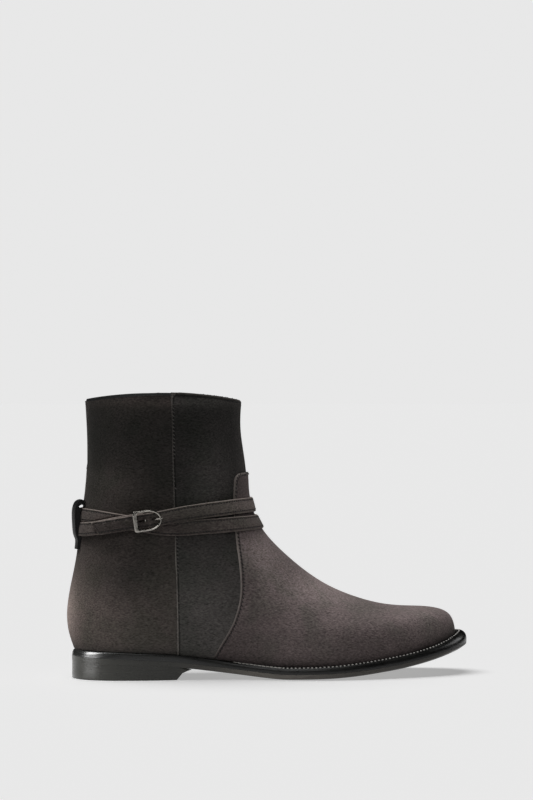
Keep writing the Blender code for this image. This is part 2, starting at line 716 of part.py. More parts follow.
def main():
    for old in list(bpy.data.objects):
        bpy.data.objects.remove(old, do_unlink=True)
    boot = bpy.data.collections.new("ankle_boot")
    cutters = bpy.data.collections.new("cutters")
    for collection in (boot, cutters):
        bpy.context.scene.collection.children.link(collection)
    plank("outsole", outsole_margin, tread_z, outsole_top_z, boot, "sole_edge")
    plank("welt", edge_margin, welt_bottom_z, welt_top_z, boot, "polished_edge")
    plank("insole", insole_margin, feather_z, insole_top_z, boot, "insole_leather")
    make_heel(boot)
    make_upper(boot)
    make_vamp(boot)
    strap = make_strap(boot)
    make_back_loop(boot)
    make_buckle_frame(boot)
    make_buckle_wires(boot)
    cut_holes(strap, cutters)
    stand_on_origin(list(boot.objects) + list(cutters.objects))


main()
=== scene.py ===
# %% [markdown]
# # A suede ankle boot with a wrapped strap
#
# The frame of this boot is there already: solids for its sole, heel, upper, vamp, strap, back loop and
# buckle, at their real size. This lesson dresses them. A piece is copied from its solid or lofted along
# it, softened, sewn and given a finish, and it stays where its solid is. Lengths are in metres, +X points
# to the toe, -Y to the outer side of the foot and +Z up.

# %% Load the frame
import math

import bmesh
import bpy
import numpy as np
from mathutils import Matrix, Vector
from mathutils.kdtree import KDTree


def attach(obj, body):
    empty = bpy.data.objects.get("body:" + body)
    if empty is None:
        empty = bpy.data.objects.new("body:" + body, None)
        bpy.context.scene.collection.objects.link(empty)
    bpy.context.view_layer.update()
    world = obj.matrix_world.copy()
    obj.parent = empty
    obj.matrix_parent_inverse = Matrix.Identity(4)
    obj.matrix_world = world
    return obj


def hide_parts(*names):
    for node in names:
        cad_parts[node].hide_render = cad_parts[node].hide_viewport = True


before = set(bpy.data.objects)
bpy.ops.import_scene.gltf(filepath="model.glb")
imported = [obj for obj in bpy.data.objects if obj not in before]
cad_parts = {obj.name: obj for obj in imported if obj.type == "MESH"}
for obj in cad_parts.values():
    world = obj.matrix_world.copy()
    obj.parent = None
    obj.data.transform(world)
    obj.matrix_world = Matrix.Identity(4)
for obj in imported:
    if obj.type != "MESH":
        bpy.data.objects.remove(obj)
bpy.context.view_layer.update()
MM = 0.001
print("nodes:", ", ".join(sorted(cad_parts)))

# %% [markdown]
# ## Camera
#
# The boot is seen from its outer side, from a little behind and from the height of its collar, through a
# long lens, which keeps the sole nearly straight. The camera looks level, so that no upright line leans.

# %% Camera
VIEW_TURN = math.radians(9.0)
VIEW_DISTANCE = 2.0
VIEW_HEIGHT = 0.1833
VIEW_LENS = 135.0
VIEW_REACH = 500.0
VIEW_FOOT = (-0.0012, 0.0020)

bpy.ops.object.camera_add(
    location=(
        VIEW_FOOT[0] - VIEW_DISTANCE * math.sin(VIEW_TURN),
        VIEW_FOOT[1] - VIEW_DISTANCE * math.cos(VIEW_TURN),
        VIEW_HEIGHT,
    ),
    rotation=(math.radians(90.0), 0.0, -VIEW_TURN),
)
camera = bpy.context.object
camera.data.lens = VIEW_LENS
camera.data.clip_end = VIEW_REACH
bpy.context.scene.camera = camera
bpy.context.scene.view_settings.view_transform = "Standard"
print("camera at", tuple(round(value, 3) for value in camera.location))

# %% [markdown]
# ## Nodes in code
#
# Finishes are node trees. A tree could be laid out node by node, as with the mouse, but in code it is
# easier to read with a few helpers: one that adds a node with its settings, some for sums and colours,
# and two that start and place a node group with named sockets.


# %% Node helpers
def add(tree, kind, **settings):
    """A node. A setting is one of the node's own properties or else the value of an input."""
    node = tree.nodes.new(kind)
    for name, value in settings.items():
        if name in node.bl_rna.properties:
            setattr(node, name, value)
        else:
            node.inputs[name.replace("_", " ")].default_value = value
    return node


def feed(tree, socket, value):
    """Links a socket, or sets it where the value is a plain number."""
    if isinstance(value, bpy.types.NodeSocket):
        tree.links.new(value, socket)
    else:
        socket.default_value = value


def object_place(tree):
    """Where a point lies on its piece."""
    return add(tree, "ShaderNodeTexCoord").outputs["Object"]


def stored(tree, name):
    """The number that a piece keeps for each of its points under a name."""
    return add(tree, "ShaderNodeAttribute", attribute_name=name).outputs["Fac"]


def calc(tree, operation, first, second=0.0):
    """Sum of two sockets or numbers."""
    node = add(tree, "ShaderNodeMath", operation=operation)
    feed(tree, node.inputs[0], first)
    feed(tree, node.inputs[1], second)
    return node.outputs[0]


def blend(tree, first, second, share):
    """A share of the first value and the rest of the second."""
    part = calc(tree, "MULTIPLY", first, share)
    return calc(tree, "ADD", part, calc(tree, "MULTIPLY", second, 1.0 - share))


def ramp(tree, value, low, high, start, end):
    """A value's soft rise from start, at low, to end, at high."""
    node = add(tree, "ShaderNodeMapRange", interpolation_type="SMOOTHSTEP")
    names = ("Value", "From Min", "From Max", "To Min", "To Max")
    for name, part in zip(names, (value, low, high, start, end)):
        feed(tree, node.inputs[name], part)
    return node.outputs["Result"]


def noise(tree, place, grain, detail=2.0, distortion=0.0):
    """Cloudy values from 0 to 1, with spots about as wide as the grain."""
    node = add(tree, "ShaderNodeTexNoise", Scale=1.0 / grain, Detail=detail, Distortion=distortion)
    tree.links.new(place, node.inputs["Vector"])
    return node.outputs[0]


def spread(tree, value, amount):
    """A cloudy value as a factor near 1."""
    return calc(tree, "ADD", calc(tree, "MULTIPLY", calc(tree, "SUBTRACT", value, 0.5), amount), 1.0)


# %% Colour and group helpers
def product(tree, first, second):
    """Two vectors or colours, multiplied part by part."""
    node = add(tree, "ShaderNodeVectorMath", operation="MULTIPLY")
    feed(tree, node.inputs[0], first)
    feed(tree, node.inputs[1], second)
    return node.outputs[0]


def tint(tree, colour, factor):
    """A colour made lighter or darker."""
    node = add(tree, "ShaderNodeVectorMath", operation="SCALE")
    feed(tree, node.inputs[0], colour)
    feed(tree, node.inputs["Scale"], factor)
    return node.outputs[0]


def mixed(tree, mask, first, second):
    """First colour where the mask is 0, second where it is 1."""
    node = add(tree, "ShaderNodeMix", data_type="RGBA")
    feed(tree, node.inputs[0], mask)
    feed(tree, node.inputs[6], first)
    feed(tree, node.inputs[7], second)
    return node.outputs[2]


def new_group(name, takes, gives):
    """Empty node group. Returns its tree and the sockets inside it."""
    tree = bpy.data.node_groups.new(name, "ShaderNodeTree")
    for direction, sockets in (("INPUT", takes), ("OUTPUT", gives)):
        for socket, kind in sockets.items():
            tree.interface.new_socket(socket, in_out=direction, socket_type="NodeSocket" + kind)
    start = tree.nodes.new("NodeGroupInput").outputs
    end = tree.nodes.new("NodeGroupOutput").inputs
    print("group", name)
    return tree, start, end


def use_group(tree, name, **values):
    """A node group placed in a tree, with its values. Returns its outputs."""
    node = tree.nodes.new("ShaderNodeGroup")
    node.node_tree = bpy.data.node_groups[name]
    for socket, value in values.items():
        feed(tree, node.inputs[socket], value)
    return node.outputs


# %% [markdown]
# ## Stage
#
# The boot stands on pale paper that runs on to the horizon. A photographer lights the paper by itself
# until it is one even tone, so the paper here is partly its own light: the rest of its tone comes from
# the lamp, and is lost where the boot shades it. What the paper throws back on the boot comes from a pool
# of light round it, which is strong low down, at heel and sole, and fades up the shaft.

# %% Paper floor
PAPER_SIZE = 300.0
PAPER_OWN_LIGHT = 0.37
PAPER_COLOUR = 0.823
POOL_LIGHT = 0.55
POOL_NEAR = 0.04
POOL_FAR = 0.30
POOL_SHAPE = (0.45, 1.0, 1.0)

bpy.ops.mesh.primitive_plane_add(size=PAPER_SIZE)
paper = bpy.context.object
paper.name = "paper_floor"
paper_look = bpy.data.materials.new("paper")
paper_look.use_nodes = True
tree = paper_look.node_tree
tree.nodes.clear()
reach = add(tree, "ShaderNodeVectorMath", operation="LENGTH")
tree.links.new(product(tree, object_place(tree), POOL_SHAPE), reach.inputs[0])
pool_light = ramp(tree, reach.outputs["Value"], POOL_NEAR, POOL_FAR, POOL_LIGHT, 0.0)
pool = add(tree, "ShaderNodeEmission")
tree.links.new(pool_light, pool.inputs["Strength"])
glow = add(tree, "ShaderNodeEmission", Strength=PAPER_OWN_LIGHT)
matte = add(tree, "ShaderNodeBsdfDiffuse", Color=(PAPER_COLOUR, PAPER_COLOUR, PAPER_COLOUR, 1.0))
seen = add(tree, "ShaderNodeAddShader")
tree.links.new(glow.outputs[0], seen.inputs[0])
tree.links.new(matte.outputs[0], seen.inputs[1])
either = add(tree, "ShaderNodeMixShader")
tree.links.new(add(tree, "ShaderNodeLightPath").outputs["Is Diffuse Ray"], either.inputs[0])
tree.links.new(seen.outputs[0], either.inputs[1])
tree.links.new(pool.outputs[0], either.inputs[2])
tree.links.new(either.outputs[0], add(tree, "ShaderNodeOutputMaterial").inputs["Surface"])
paper.data.materials.append(paper_look)
print("paper", PAPER_SIZE, "m wide")

# %% Sky
PAPER_TONE = 0.806
SKY_LIGHT = 0.0

sky = bpy.data.worlds.new("studio")
bpy.context.scene.world = sky
sky.use_nodes = True
tree = sky.node_tree
tree.nodes.clear()
seen = add(tree, "ShaderNodeLightPath").outputs["Is Camera Ray"]
tone = add(tree, "ShaderNodeMix", data_type="FLOAT", A=SKY_LIGHT, B=PAPER_TONE)
tree.links.new(seen, tone.inputs["Factor"])
air = add(tree, "ShaderNodeBackground", Color=(1.0, 1.0, 1.0, 1.0))
tree.links.new(tone.outputs[0], air.inputs["Strength"])
tree.links.new(air.outputs[0], add(tree, "ShaderNodeOutputWorld").inputs["Surface"])
print("paper tone", PAPER_TONE)

# %% [markdown]
# ## Light
#
# The key is one wide lamp overhead, a little towards the heel, so the top of the vamp is light, the
# upright shaft stays dark and the toe's shadow falls forward. Four cards leave the paper as it is: one
# before the toe for the vamp, a long one beside the boot, and two behind the heel that light nothing but
# the polished pieces, for the gleam on the heel's round back and on the rand above it.

# %% Lamps
KEY_PLACE = (0.0, 0.0, 2.0)
KEY_STRENGTH = 1.75
KEY_SOFTNESS = math.radians(50.0)
KEY_LEAN_BACK = math.radians(16.0)
KEY_LEAN_OUT = math.radians(2.0)

bpy.ops.object.light_add(type="SUN", location=KEY_PLACE)
key = bpy.context.object
key.name = "key_lamp"
key.data.energy = KEY_STRENGTH
key.data.angle = KEY_SOFTNESS
key.rotation_euler = (-KEY_LEAN_OUT, -KEY_LEAN_BACK, 0.0)

boot_pieces = bpy.data.collections.new("boot_pieces")
polished_pieces = bpy.data.collections.new("polished_pieces")
CARD_COLUMNS = ("name", "size", "power", "place", "aim", "lit")
CARD_ROWS = (
    ("toe_card", (0.50, 0.50), 1.75, (0.90, 0.15, 0.55), (0.04, 0.0, 0.05), boot_pieces),
    ("side_card", (0.90, 0.25), 1.8, (-0.35, -1.10, 0.75), (-0.05, 0.0, 0.05), boot_pieces),
    ("heel_card", (0.46, 0.30), 4.1, (-0.775, -0.22, 0.10), (-0.13, 0.0, 0.03), polished_pieces),
    ("rand_card", (0.30, 0.35), 9.0, (-0.715, -0.115, 0.50), (-0.13, 0.0, 0.02), polished_pieces),
)
for row in CARD_ROWS:
    card = dict(zip(CARD_COLUMNS, row))
    bpy.ops.object.light_add(type="AREA", location=card["place"])
    lamp = bpy.context.object
    lamp.name = card["name"]
    lamp.data.shape = "RECTANGLE"
    lamp.data.size, lamp.data.size_y = card["size"]
    lamp.data.energy = card["power"]
    sight = Vector(card["aim"]) - Vector(card["place"])
    lamp.rotation_euler = sight.to_track_quat("-Z", "Y").to_euler()
    lamp.light_linking.receiver_collection = card["lit"]

# %% [markdown]
# ## Shared finishes
#
# Five effects come back in several finishes, so each is a node group that takes its own values in each:
# the nap of suede, a light fringe along a cut edge, the channel that a row of stitches pulls into
# leather, the streaks of a burnished edge and the grain of smooth leather. They are woven from noise on
# the piece's own coordinates, so that they need no picture and no unwrapping.

# %% Suede nap
NAP_TURN = math.radians(38.0)
NAP_STRETCH = (0.42, 1.0, 1.0)
STROKE_SIZE = 24.0 * MM
TUFT_SIZE = 0.75 * MM
FIBRE_SIZE = 0.45 * MM
TUFT_SHARE = 0.65
COOL_TINT = (0.97, 1.01, 0.97, 1.0)
WARM_TINT = (1.02, 0.99, 1.0, 1.0)

tree, start, end = new_group(
    "suede_nap",
    {"Colour": "Color", "Mottle": "Float", "Speckle": "Float"},
    {"Colour": "Color", "Height": "Float"},
)
place = object_place(tree)
lying = add(tree, "ShaderNodeMapping", Rotation=(0.0, NAP_TURN, 0.0), Scale=NAP_STRETCH)
tree.links.new(place, lying.inputs["Vector"])
strokes = noise(tree, place, STROKE_SIZE, detail=3.0, distortion=0.6)
tufts = noise(tree, lying.outputs[0], TUFT_SIZE, detail=2.0, distortion=0.5)
fibres = noise(tree, place, FIBRE_SIZE, detail=2.0)
mottle = spread(tree, strokes, calc(tree, "MULTIPLY", start["Mottle"], 2.0))
speckle = spread(tree, tufts, calc(tree, "MULTIPLY", start["Speckle"], 2.0))
hue = mixed(tree, ramp(tree, strokes, 0.30, 0.60, 0.0, 1.0), COOL_TINT, WARM_TINT)
tinted = product(tree, start["Colour"], hue)
tree.links.new(tint(tree, tinted, calc(tree, "MULTIPLY", mottle, speckle)), end["Colour"])
tree.links.new(blend(tree, tufts, fibres, TUFT_SHARE), end["Height"])

# %% Cut edge and sewn channel
FRAY_SIZE = 0.8 * MM
FRAY = 0.9

tree, start, end = new_group("cut_edge", {"Distance": "Float", "Reach": "Float"}, {"Mask": "Float"})
fray = spread(tree, noise(tree, object_place(tree), FRAY_SIZE), FRAY)
frayed = calc(tree, "MULTIPLY", start["Distance"], fray)
tree.links.new(ramp(tree, frayed, 0.0, start["Reach"], 1.0, 0.0), end["Mask"])

tree, start, end = new_group(
    "sewn_channel",
    {"Distance": "Float", "At": "Float", "Width": "Float"},
    {"Depth": "Float"},
)
off = calc(tree, "ABSOLUTE", calc(tree, "SUBTRACT", start["Distance"], start["At"]))
tree.links.new(ramp(tree, off, 0.0, start["Width"], 1.0, 0.0), end["Depth"])

# %% Burnished edge
STREAK_DRAWN = (0.06, 0.06, 1.0)
STREAK_SIZE = 0.5 * MM
RUBBED_SIZE = 9.0 * MM
STREAK_SHARE = 0.6
JOINT_FROM = 0.42
JOINT_DARK = 0.12
JOINT_DEEP = 0.2
EDGE_ROUGHNESS = (0.20, 0.42)

tree, start, end = new_group(
    "burnished_edge",
    {"Colour": "Color", "Streak": "Float", "Layer": "Float"},
    {"Colour": "Color", "Roughness": "Float", "Height": "Float"},
)
place = object_place(tree)
streaks = noise(tree, product(tree, place, STREAK_DRAWN), STREAK_SIZE, detail=3.0)
rubbed = noise(tree, place, RUBBED_SIZE, detail=3.0)
height = add(tree, "ShaderNodeSeparateXYZ")
tree.links.new(place, height.inputs[0])
layer = calc(tree, "FRACT", calc(tree, "DIVIDE", height.outputs["Z"], start["Layer"]))
from_middle = calc(tree, "ABSOLUTE", calc(tree, "SUBTRACT", layer, 0.5))
joint = ramp(tree, from_middle, JOINT_FROM, 0.5, 0.0, 1.0)
darker = calc(tree, "SUBTRACT", 1.0, calc(tree, "MULTIPLY", joint, JOINT_DARK))
stained = calc(tree, "MULTIPLY", spread(tree, streaks, start["Streak"]), darker)
tree.links.new(tint(tree, start["Colour"], stained), end["Colour"])
wear = blend(tree, streaks, rubbed, STREAK_SHARE)
tree.links.new(ramp(tree, wear, 0.3, 0.7, *EDGE_ROUGHNESS), end["Roughness"])
tree.links.new(calc(tree, "SUBTRACT", streaks, calc(tree, "MULTIPLY", joint, JOINT_DEEP)), end["Height"])

# %% Leather grain
WORN_SIZE = 12.0 * MM
WORN = 0.5

tree, start, end = new_group(
    "leather_grain",
    {"Colour": "Color", "Grain": "Float"},
    {"Colour": "Color", "Height": "Float"},
)
place = object_place(tree)
cells = add(tree, "ShaderNodeTexVoronoi", feature="SMOOTH_F1")
tree.links.new(place, cells.inputs["Vector"])
tree.links.new(calc(tree, "DIVIDE", 1.0, start["Grain"]), cells.inputs["Scale"])
worn = spread(tree, noise(tree, place, WORN_SIZE, detail=3.0), WORN)
tree.links.new(tint(tree, start["Colour"], worn), end["Colour"])
tree.links.new(cells.outputs["Distance"], end["Height"])

# %% [markdown]
# ## Materials
#
# Suede takes its light from a soft sheen and hardly any gloss. Its colour is mottled by brushing, it is
# paler at cut edges, and it sinks where it is sewn, with painted shade in that channel. Patches of painted
# light and shade are laid into its colour too. The shader can't know where all that is, so the pieces carry
# it in attributes: cut is the distance in millimetres from the cut edge, nap_and_painted_light how much
# lighter a place is by its nap and by painted light, and painted_edge_shade where painted shade covers the
# pale edge. The sole's edges are stained and waxed, with more wax at the heel, and forward, their
# attribute, goes from 0 at the heel to 1 at the forefoot.


# %% Suede and its cut edge
def new_finish(name, **values):
    """Material whose shader's own sockets have these values. Returns it with its tree and shader."""
    made = bpy.data.materials.new(name)
    made.use_nodes = True
    shader = made.node_tree.nodes["Principled BSDF"]
    for socket, value in values.items():
        shader.inputs[socket.replace("_", " ")].default_value = value
    print("finish", name)
    return made, made.node_tree, shader


def emboss(tree, shader, height, depth):
    """Small relief, as deep as given where the height goes from 0 to 1."""
    node = add(tree, "ShaderNodeBump", Strength=1.0, Distance=depth)
    tree.links.new(height, node.inputs["Height"])
    tree.links.new(node.outputs[0], shader.inputs["Normal"])


SHEEN_COLOUR = (0.62, 0.56, 0.54, 1.0)
CHANNEL_WIDTH = 0.65
CHANNEL_DEPTH = 0.9
PILE_DEPTH = 0.55 * MM
RAW_DEPTH = 0.3 * MM


def suede(name, colour, nap_and_light_colour, pale, sewn_at, channel_shade, fringe):
    """Brushed suede, with its seam and its fringe at so many millimetres from its cut edge."""
    made, tree, shader = new_finish(
        name,
        Roughness=0.95,
        Specular_IOR_Level=0.12,
        Sheen_Weight=0.20,
        Sheen_Roughness=0.36,
        Sheen_Tint=SHEEN_COLOUR,
    )
    cut = stored(tree, "cut")
    nap_and_painted_light = stored(tree, "nap_and_painted_light")
    # The patches of nap and painted light add this much of their own tint to the hide's colour.
    hide = add(tree, "ShaderNodeVectorMath", operation="MULTIPLY_ADD")
    for socket, value in zip(hide.inputs, (nap_and_painted_light, nap_and_light_colour, colour)):
        feed(tree, socket, value)
    nap = use_group(tree, "suede_nap", Colour=hide.outputs[0], Mottle=0.36, Speckle=1.1)
    edge = use_group(tree, "cut_edge", Distance=cut, Reach=fringe)["Mask"]
    # Painted shade takes the pale fringe off edges that face away from the light.
    edge = calc(tree, "MULTIPLY", edge, calc(tree, "SUBTRACT", 1.0, stored(tree, "painted_edge_shade")))
    # The pale edge grows lighter or darker with the same nap and painted light.
    paled = tint(tree, pale, calc(tree, "ADD", nap_and_painted_light, 1.0))
    sewn = use_group(tree, "sewn_channel", Distance=cut, At=sewn_at, Width=CHANNEL_WIDTH)["Depth"]
    # The sewn channel is darkened: painted shade.
    darker = calc(tree, "SUBTRACT", 1.0, calc(tree, "MULTIPLY", sewn, channel_shade))
    tree.links.new(mixed(tree, edge, tint(tree, nap["Colour"], darker), paled), shader.inputs["Base Color"])
    relief = calc(tree, "SUBTRACT", nap["Height"], calc(tree, "MULTIPLY", sewn, CHANNEL_DEPTH))
    emboss(tree, shader, relief, PILE_DEPTH)
    return made


def raw(name, colour):
    """The bare inside of a hide, where it is cut."""
    made, tree, shader = new_finish(name, Roughness=0.95, Specular_IOR_Level=0.1)
    # The raw inside grows lighter or darker with the same nap and painted light.
    paled = tint(tree, colour, calc(tree, "ADD", stored(tree, "nap_and_painted_light"), 1.0))
    nap = use_group(tree, "suede_nap", Colour=paled, Mottle=0.3, Speckle=0.6)
    tree.links.new(nap["Colour"], shader.inputs["Base Color"])
    emboss(tree, shader, nap["Height"], RAW_DEPTH)
    return made


# %% Suede of each piece
BACK_COLOUR = (0.052, 0.049, 0.045)
BACK_NAP_AND_LIGHT = (0.058, 0.047, 0.042)
FRONT_COLOUR = (0.051, 0.049, 0.046)
FRONT_NAP_AND_LIGHT = (0.051, 0.048, 0.045)
VAMP_COLOUR = (0.222, 0.184, 0.178)
STRAP_COLOUR = (0.165, 0.142, 0.130)
PALE_SUEDE = (0.17, 0.155, 0.143)
PALE_VAMP = (0.44, 0.39, 0.36)
PALE_STRAP = (0.50, 0.43, 0.39)
SIDE_SEWN = 1.3
VAMP_SEWN = 1.6
STRAP_SEWN = 1.5
SEAM_CHANNEL_SHADE = 0.55
STRAP_CHANNEL_SHADE = 0.35

back_suede = suede("back_suede", BACK_COLOUR, BACK_NAP_AND_LIGHT, PALE_SUEDE, SIDE_SEWN, SEAM_CHANNEL_SHADE, fringe=0.7)
front_suede = suede("front_suede", FRONT_COLOUR, FRONT_NAP_AND_LIGHT, PALE_SUEDE, SIDE_SEWN, SEAM_CHANNEL_SHADE, fringe=0.9)
vamp_suede = suede("vamp_suede", VAMP_COLOUR, VAMP_COLOUR, PALE_VAMP, VAMP_SEWN, SEAM_CHANNEL_SHADE, fringe=1.3)
strap_suede = suede("strap_suede", STRAP_COLOUR, STRAP_COLOUR, PALE_STRAP, STRAP_SEWN, STRAP_CHANNEL_SHADE, fringe=0.9)
raw_edge = raw("raw_edge", PALE_SUEDE)
raw_vamp = raw("raw_vamp", PALE_VAMP)
raw_strap = raw("raw_strap", PALE_STRAP)

# %% Smooth leather and burnished edges
LINING_BLACK = (0.010, 0.010, 0.010)
INSOLE_BROWN = (0.045, 0.041, 0.038)
BLACK_EDGE = (0.008, 0.008, 0.0075)
HEEL_STAIN = (0.016, 0.0157, 0.0130)
SOLE_STAIN = (0.053, 0.048, 0.042)
STREAK_DEPTH = 0.04 * MM


def smooth_leather(name, colour, grain, roughness, depth, specular=0.4):
    made, tree, shader = new_finish(name, Roughness=roughness, Specular_IOR_Level=specular)
    skin = use_group(tree, "leather_grain", Colour=(*colour, 1.0), Grain=grain)
    tree.links.new(skin["Colour"], shader.inputs["Base Color"])
    emboss(tree, shader, skin["Height"], depth)
    return made


def burnished(name, back, front, layer, streak, wax):
    """Edge that is stained and waxed in one way at the heel and in another at the forefoot."""
    made, tree, shader = new_finish(name, Specular_IOR_Level=0.25, Coat_Roughness=0.24)
    forward = stored(tree, "forward")
    stain = mixed(tree, forward, (*back, 1.0), (*front, 1.0))
    tree.links.new(ramp(tree, forward, 0.0, 1.0, *wax), shader.inputs["Coat Weight"])
    edge = use_group(tree, "burnished_edge", Colour=stain, Streak=streak, Layer=layer)
    tree.links.new(edge["Colour"], shader.inputs["Base Color"])
    tree.links.new(edge["Roughness"], shader.inputs["Roughness"])
    emboss(tree, shader, edge["Height"], STREAK_DEPTH)
    return made


lining = smooth_leather("lining_leather", LINING_BLACK, 0.9 * MM, roughness=0.55, depth=0.05 * MM)
loop_leather = smooth_leather("loop_leather", LINING_BLACK, 1.0 * MM, 0.55, depth=0.06 * MM, specular=0.25)
insole_leather = smooth_leather("insole_leather", INSOLE_BROWN, 1.1 * MM, roughness=0.6, depth=0.06 * MM)
welt_edge = burnished("welt_edge", BLACK_EDGE, BLACK_EDGE, layer=9.0 * MM, streak=0.9, wax=(0.55, 0.22))
sole_edge = burnished("sole_edge", HEEL_STAIN, SOLE_STAIN, layer=9.0 * MM, streak=1.0, wax=(0.5, 0.3))
heel_leather = burnished("heel_leather", HEEL_STAIN, HEEL_STAIN, layer=3.4 * MM, streak=1.2, wax=(0.5, 0.5))
heel_rubber = burnished("heel_rubber", HEEL_STAIN, HEEL_STAIN, layer=9.4 * MM, streak=0.8, wax=(0.5, 0.5))

# %% Thread and metal
DARK_THREAD = (0.020, 0.019, 0.018)
# Taupe thread, made lighter to stand for the highlights on its smoother fibre: partly painted highlight.
SIDE_THREAD_AND_HIGHLIGHT = (0.125, 0.117, 0.108)
WELT_THREAD = (0.62, 0.60, 0.57)
TWIST_SIZE = 0.25 * MM
TWIST_DEPTH = 0.06 * MM
STEEL_COLOUR = (0.36, 0.34, 0.31)
STEEL_RUBBED = 1.5 * MM


def thread(name, colour):
    made, tree, shader = new_finish(name, Roughness=0.6, Specular_IOR_Level=0.35)
    twist = noise(tree, object_place(tree), TWIST_SIZE, detail=1.0)
    tree.links.new(tint(tree, colour, spread(tree, twist, 0.8)), shader.inputs["Base Color"])
    emboss(tree, shader, twist, TWIST_DEPTH)
    return made


def polished_metal(name, colour):
    made, tree, shader = new_finish(name, Metallic=1.0, Roughness=0.16)
    rubbed = noise(tree, object_place(tree), STEEL_RUBBED, detail=3.0)
    tree.links.new(tint(tree, colour, spread(tree, rubbed, 0.5)), shader.inputs["Base Color"])
    tree.links.new(ramp(tree, rubbed, 0.35, 0.65, 0.12, 0.26), shader.inputs["Roughness"])
    return made


dark_thread = thread("dark_thread", DARK_THREAD)
side_thread_and_highlight = thread("side_thread_and_highlight", SIDE_THREAD_AND_HIGHLIGHT)
welt_thread = thread("welt_thread", WELT_THREAD)
steel = polished_metal("buckle_metal", STEEL_COLOUR)

# %% [markdown]
# ## Copies of the solids
#
# Most pieces could be modelled again from a primitive, but their solids have the right outline already,
# so they are copied. A solid arrives as loose triangles: the copy is merged first and its triangles are
# paired into quads. Its sharp edges are creased, and a Subdivision Surface then rounds everything between
# them.

# %% Copying and softening
MERGE_WITHIN = 0.001 * MM
ANY_QUAD = math.radians(120.0)


def pick(piece):
    """Makes a piece the only selected one."""
    bpy.ops.object.select_all(action="DESELECT")
    piece.select_set(True)
    bpy.context.view_layer.objects.active = piece


def edit(piece, kind):
    """Opens a piece for work on its edges or faces, with none of them selected."""
    pick(piece)
    bpy.ops.object.mode_set(mode="EDIT")
    bpy.ops.mesh.select_mode(type=kind)
    bpy.ops.mesh.select_all(action="DESELECT")


def new_piece(name, mesh):
    """A selected piece at the origin with a mesh."""
    piece = bpy.data.objects.new(name, mesh)
    bpy.context.scene.collection.objects.link(piece)
    pick(piece)
    return piece


def copy_of(node, name, flat=60.0):
    """A new piece with a node's mesh, merged, and in quads where two triangles lie flat enough."""
    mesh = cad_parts[node].data.copy()
    mesh.name = name
    mesh.materials.clear()
    piece = new_piece(name, mesh)
    bpy.ops.mesh.customdata_custom_splitnormals_clear()
    bpy.ops.object.mode_set(mode="EDIT")
    bpy.ops.mesh.select_all(action="SELECT")
    bpy.ops.mesh.remove_doubles(threshold=MERGE_WITHIN)
    bpy.ops.mesh.tris_convert_to_quads(face_threshold=math.radians(flat), shape_threshold=ANY_QUAD)
    bpy.ops.object.mode_set(mode="OBJECT")
    return piece


def apply(piece, kind, **settings):
    """Adds a modifier to a piece and applies it."""
    pick(piece)
    made = piece.modifiers.new(kind.lower(), kind)
    for name, value in settings.items():
        setattr(made, name, value)
    bpy.ops.object.modifier_apply(modifier=made.name)


def soften(piece, sharp, levels, crease=1.0):
    """Subdivides a piece smoothly, apart from its edges that are sharper than an angle."""
    edit(piece, "EDGE")
    bpy.ops.mesh.edges_select_sharp(sharpness=math.radians(sharp))
    bpy.ops.transform.edge_crease(value=crease)
    bpy.ops.object.mode_set(mode="OBJECT")
    apply(piece, "SUBSURF", levels=levels, render_levels=levels)


def break_edges(piece, width, segments, sharp):
    """Bevels the edges of a piece that are sharper than an angle."""
    limit = math.radians(sharp)
    apply(piece, "BEVEL", width=width, segments=segments, limit_method="ANGLE", angle_limit=limit)


def shade(piece, sharp=40.0):
    pick(piece)
    bpy.ops.object.shade_smooth_by_angle(angle=math.radians(sharp))


# %% Points, finishes and handing over
def values_of(items, name, width=3):
    """One value of each point or face of a piece, in rows."""
    found = np.empty(len(items) * width)
    items.foreach_get(name, found)
    return found.reshape(-1, width)


def points_of(piece):
    return values_of(piece.data.vertices, "co")


def normals_of(piece):
    return values_of(piece.data.vertices, "normal")


def face_values(piece):
    """Area, centre and normal of each face."""
    faces = piece.data.polygons
    return values_of(faces, "area", 1).ravel(), values_of(faces, "center"), values_of(faces, "normal")


def verts_of(piece, faces):
    """Points that these faces use."""
    return np.unique([vert for face in faces for vert in piece.data.polygons[face].vertices])


def move_points(piece, points):
    piece.data.vertices.foreach_set("co", points.ravel())
    piece.data.update()


def store(piece, name, values):
    """Keeps a number for each point of a piece, for its shader to read."""
    made = piece.data.attributes.new(name, "FLOAT", "POINT")
    made.data.foreach_set("value", np.asarray(values, np.float32))


def dress(piece, finishes, look):
    """Gives a piece its finishes, and each of its faces the number of one."""
    for finish in finishes:
        piece.data.materials.append(finish)
    piece.data.polygons.foreach_set("material_index", look)


def place_piece(piece, slot, *nodes, polished=False):
    """Hands a finished piece to the frame and to the cards."""
    boot_pieces.objects.link(piece)
    if polished:
        polished_pieces.objects.link(piece)
    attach(piece, "root")
    if nodes:
        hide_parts(*nodes)
    print(piece.name, len(piece.data.polygons), "faces")


# %% [markdown]
# ## Lines and zones
#
# Stitches follow seams and finishes end at them, so seams are needed as lines. They could be typed in as
# points, but they are on the pieces already. Sharp edges are walked into lines, from one junction to the
# next, and faces that no sharp edge parts make a zone. A line's points then say where stitches go, and a
# zone's faces which finish they get.


# %% Finding lines
def walk_lines(edges):
    """Lines of points along edges, from one junction to the next."""
    meeting = {}
    for edge in edges:
        for vert in edge.verts:
            meeting.setdefault(vert, []).append(edge)
    left = set(edges)
    lines = []

    def walk(vert, edge):
        line = [vert]
        while edge in left:
            left.discard(edge)
            vert = edge.other_vert(vert)
            line.append(vert)
            if len(meeting[vert]) == 2:
                edge = meeting[vert][meeting[vert].index(edge) - 1]
        lines.append(np.array([tuple(vert.co) for vert in line]))

    for vert, around in meeting.items():
        for edge in around:
            if len(around) != 2 and edge in left:
                walk(vert, edge)
    for edge in edges:
        if edge in left:
            walk(edge.verts[0], edge)
    return lines


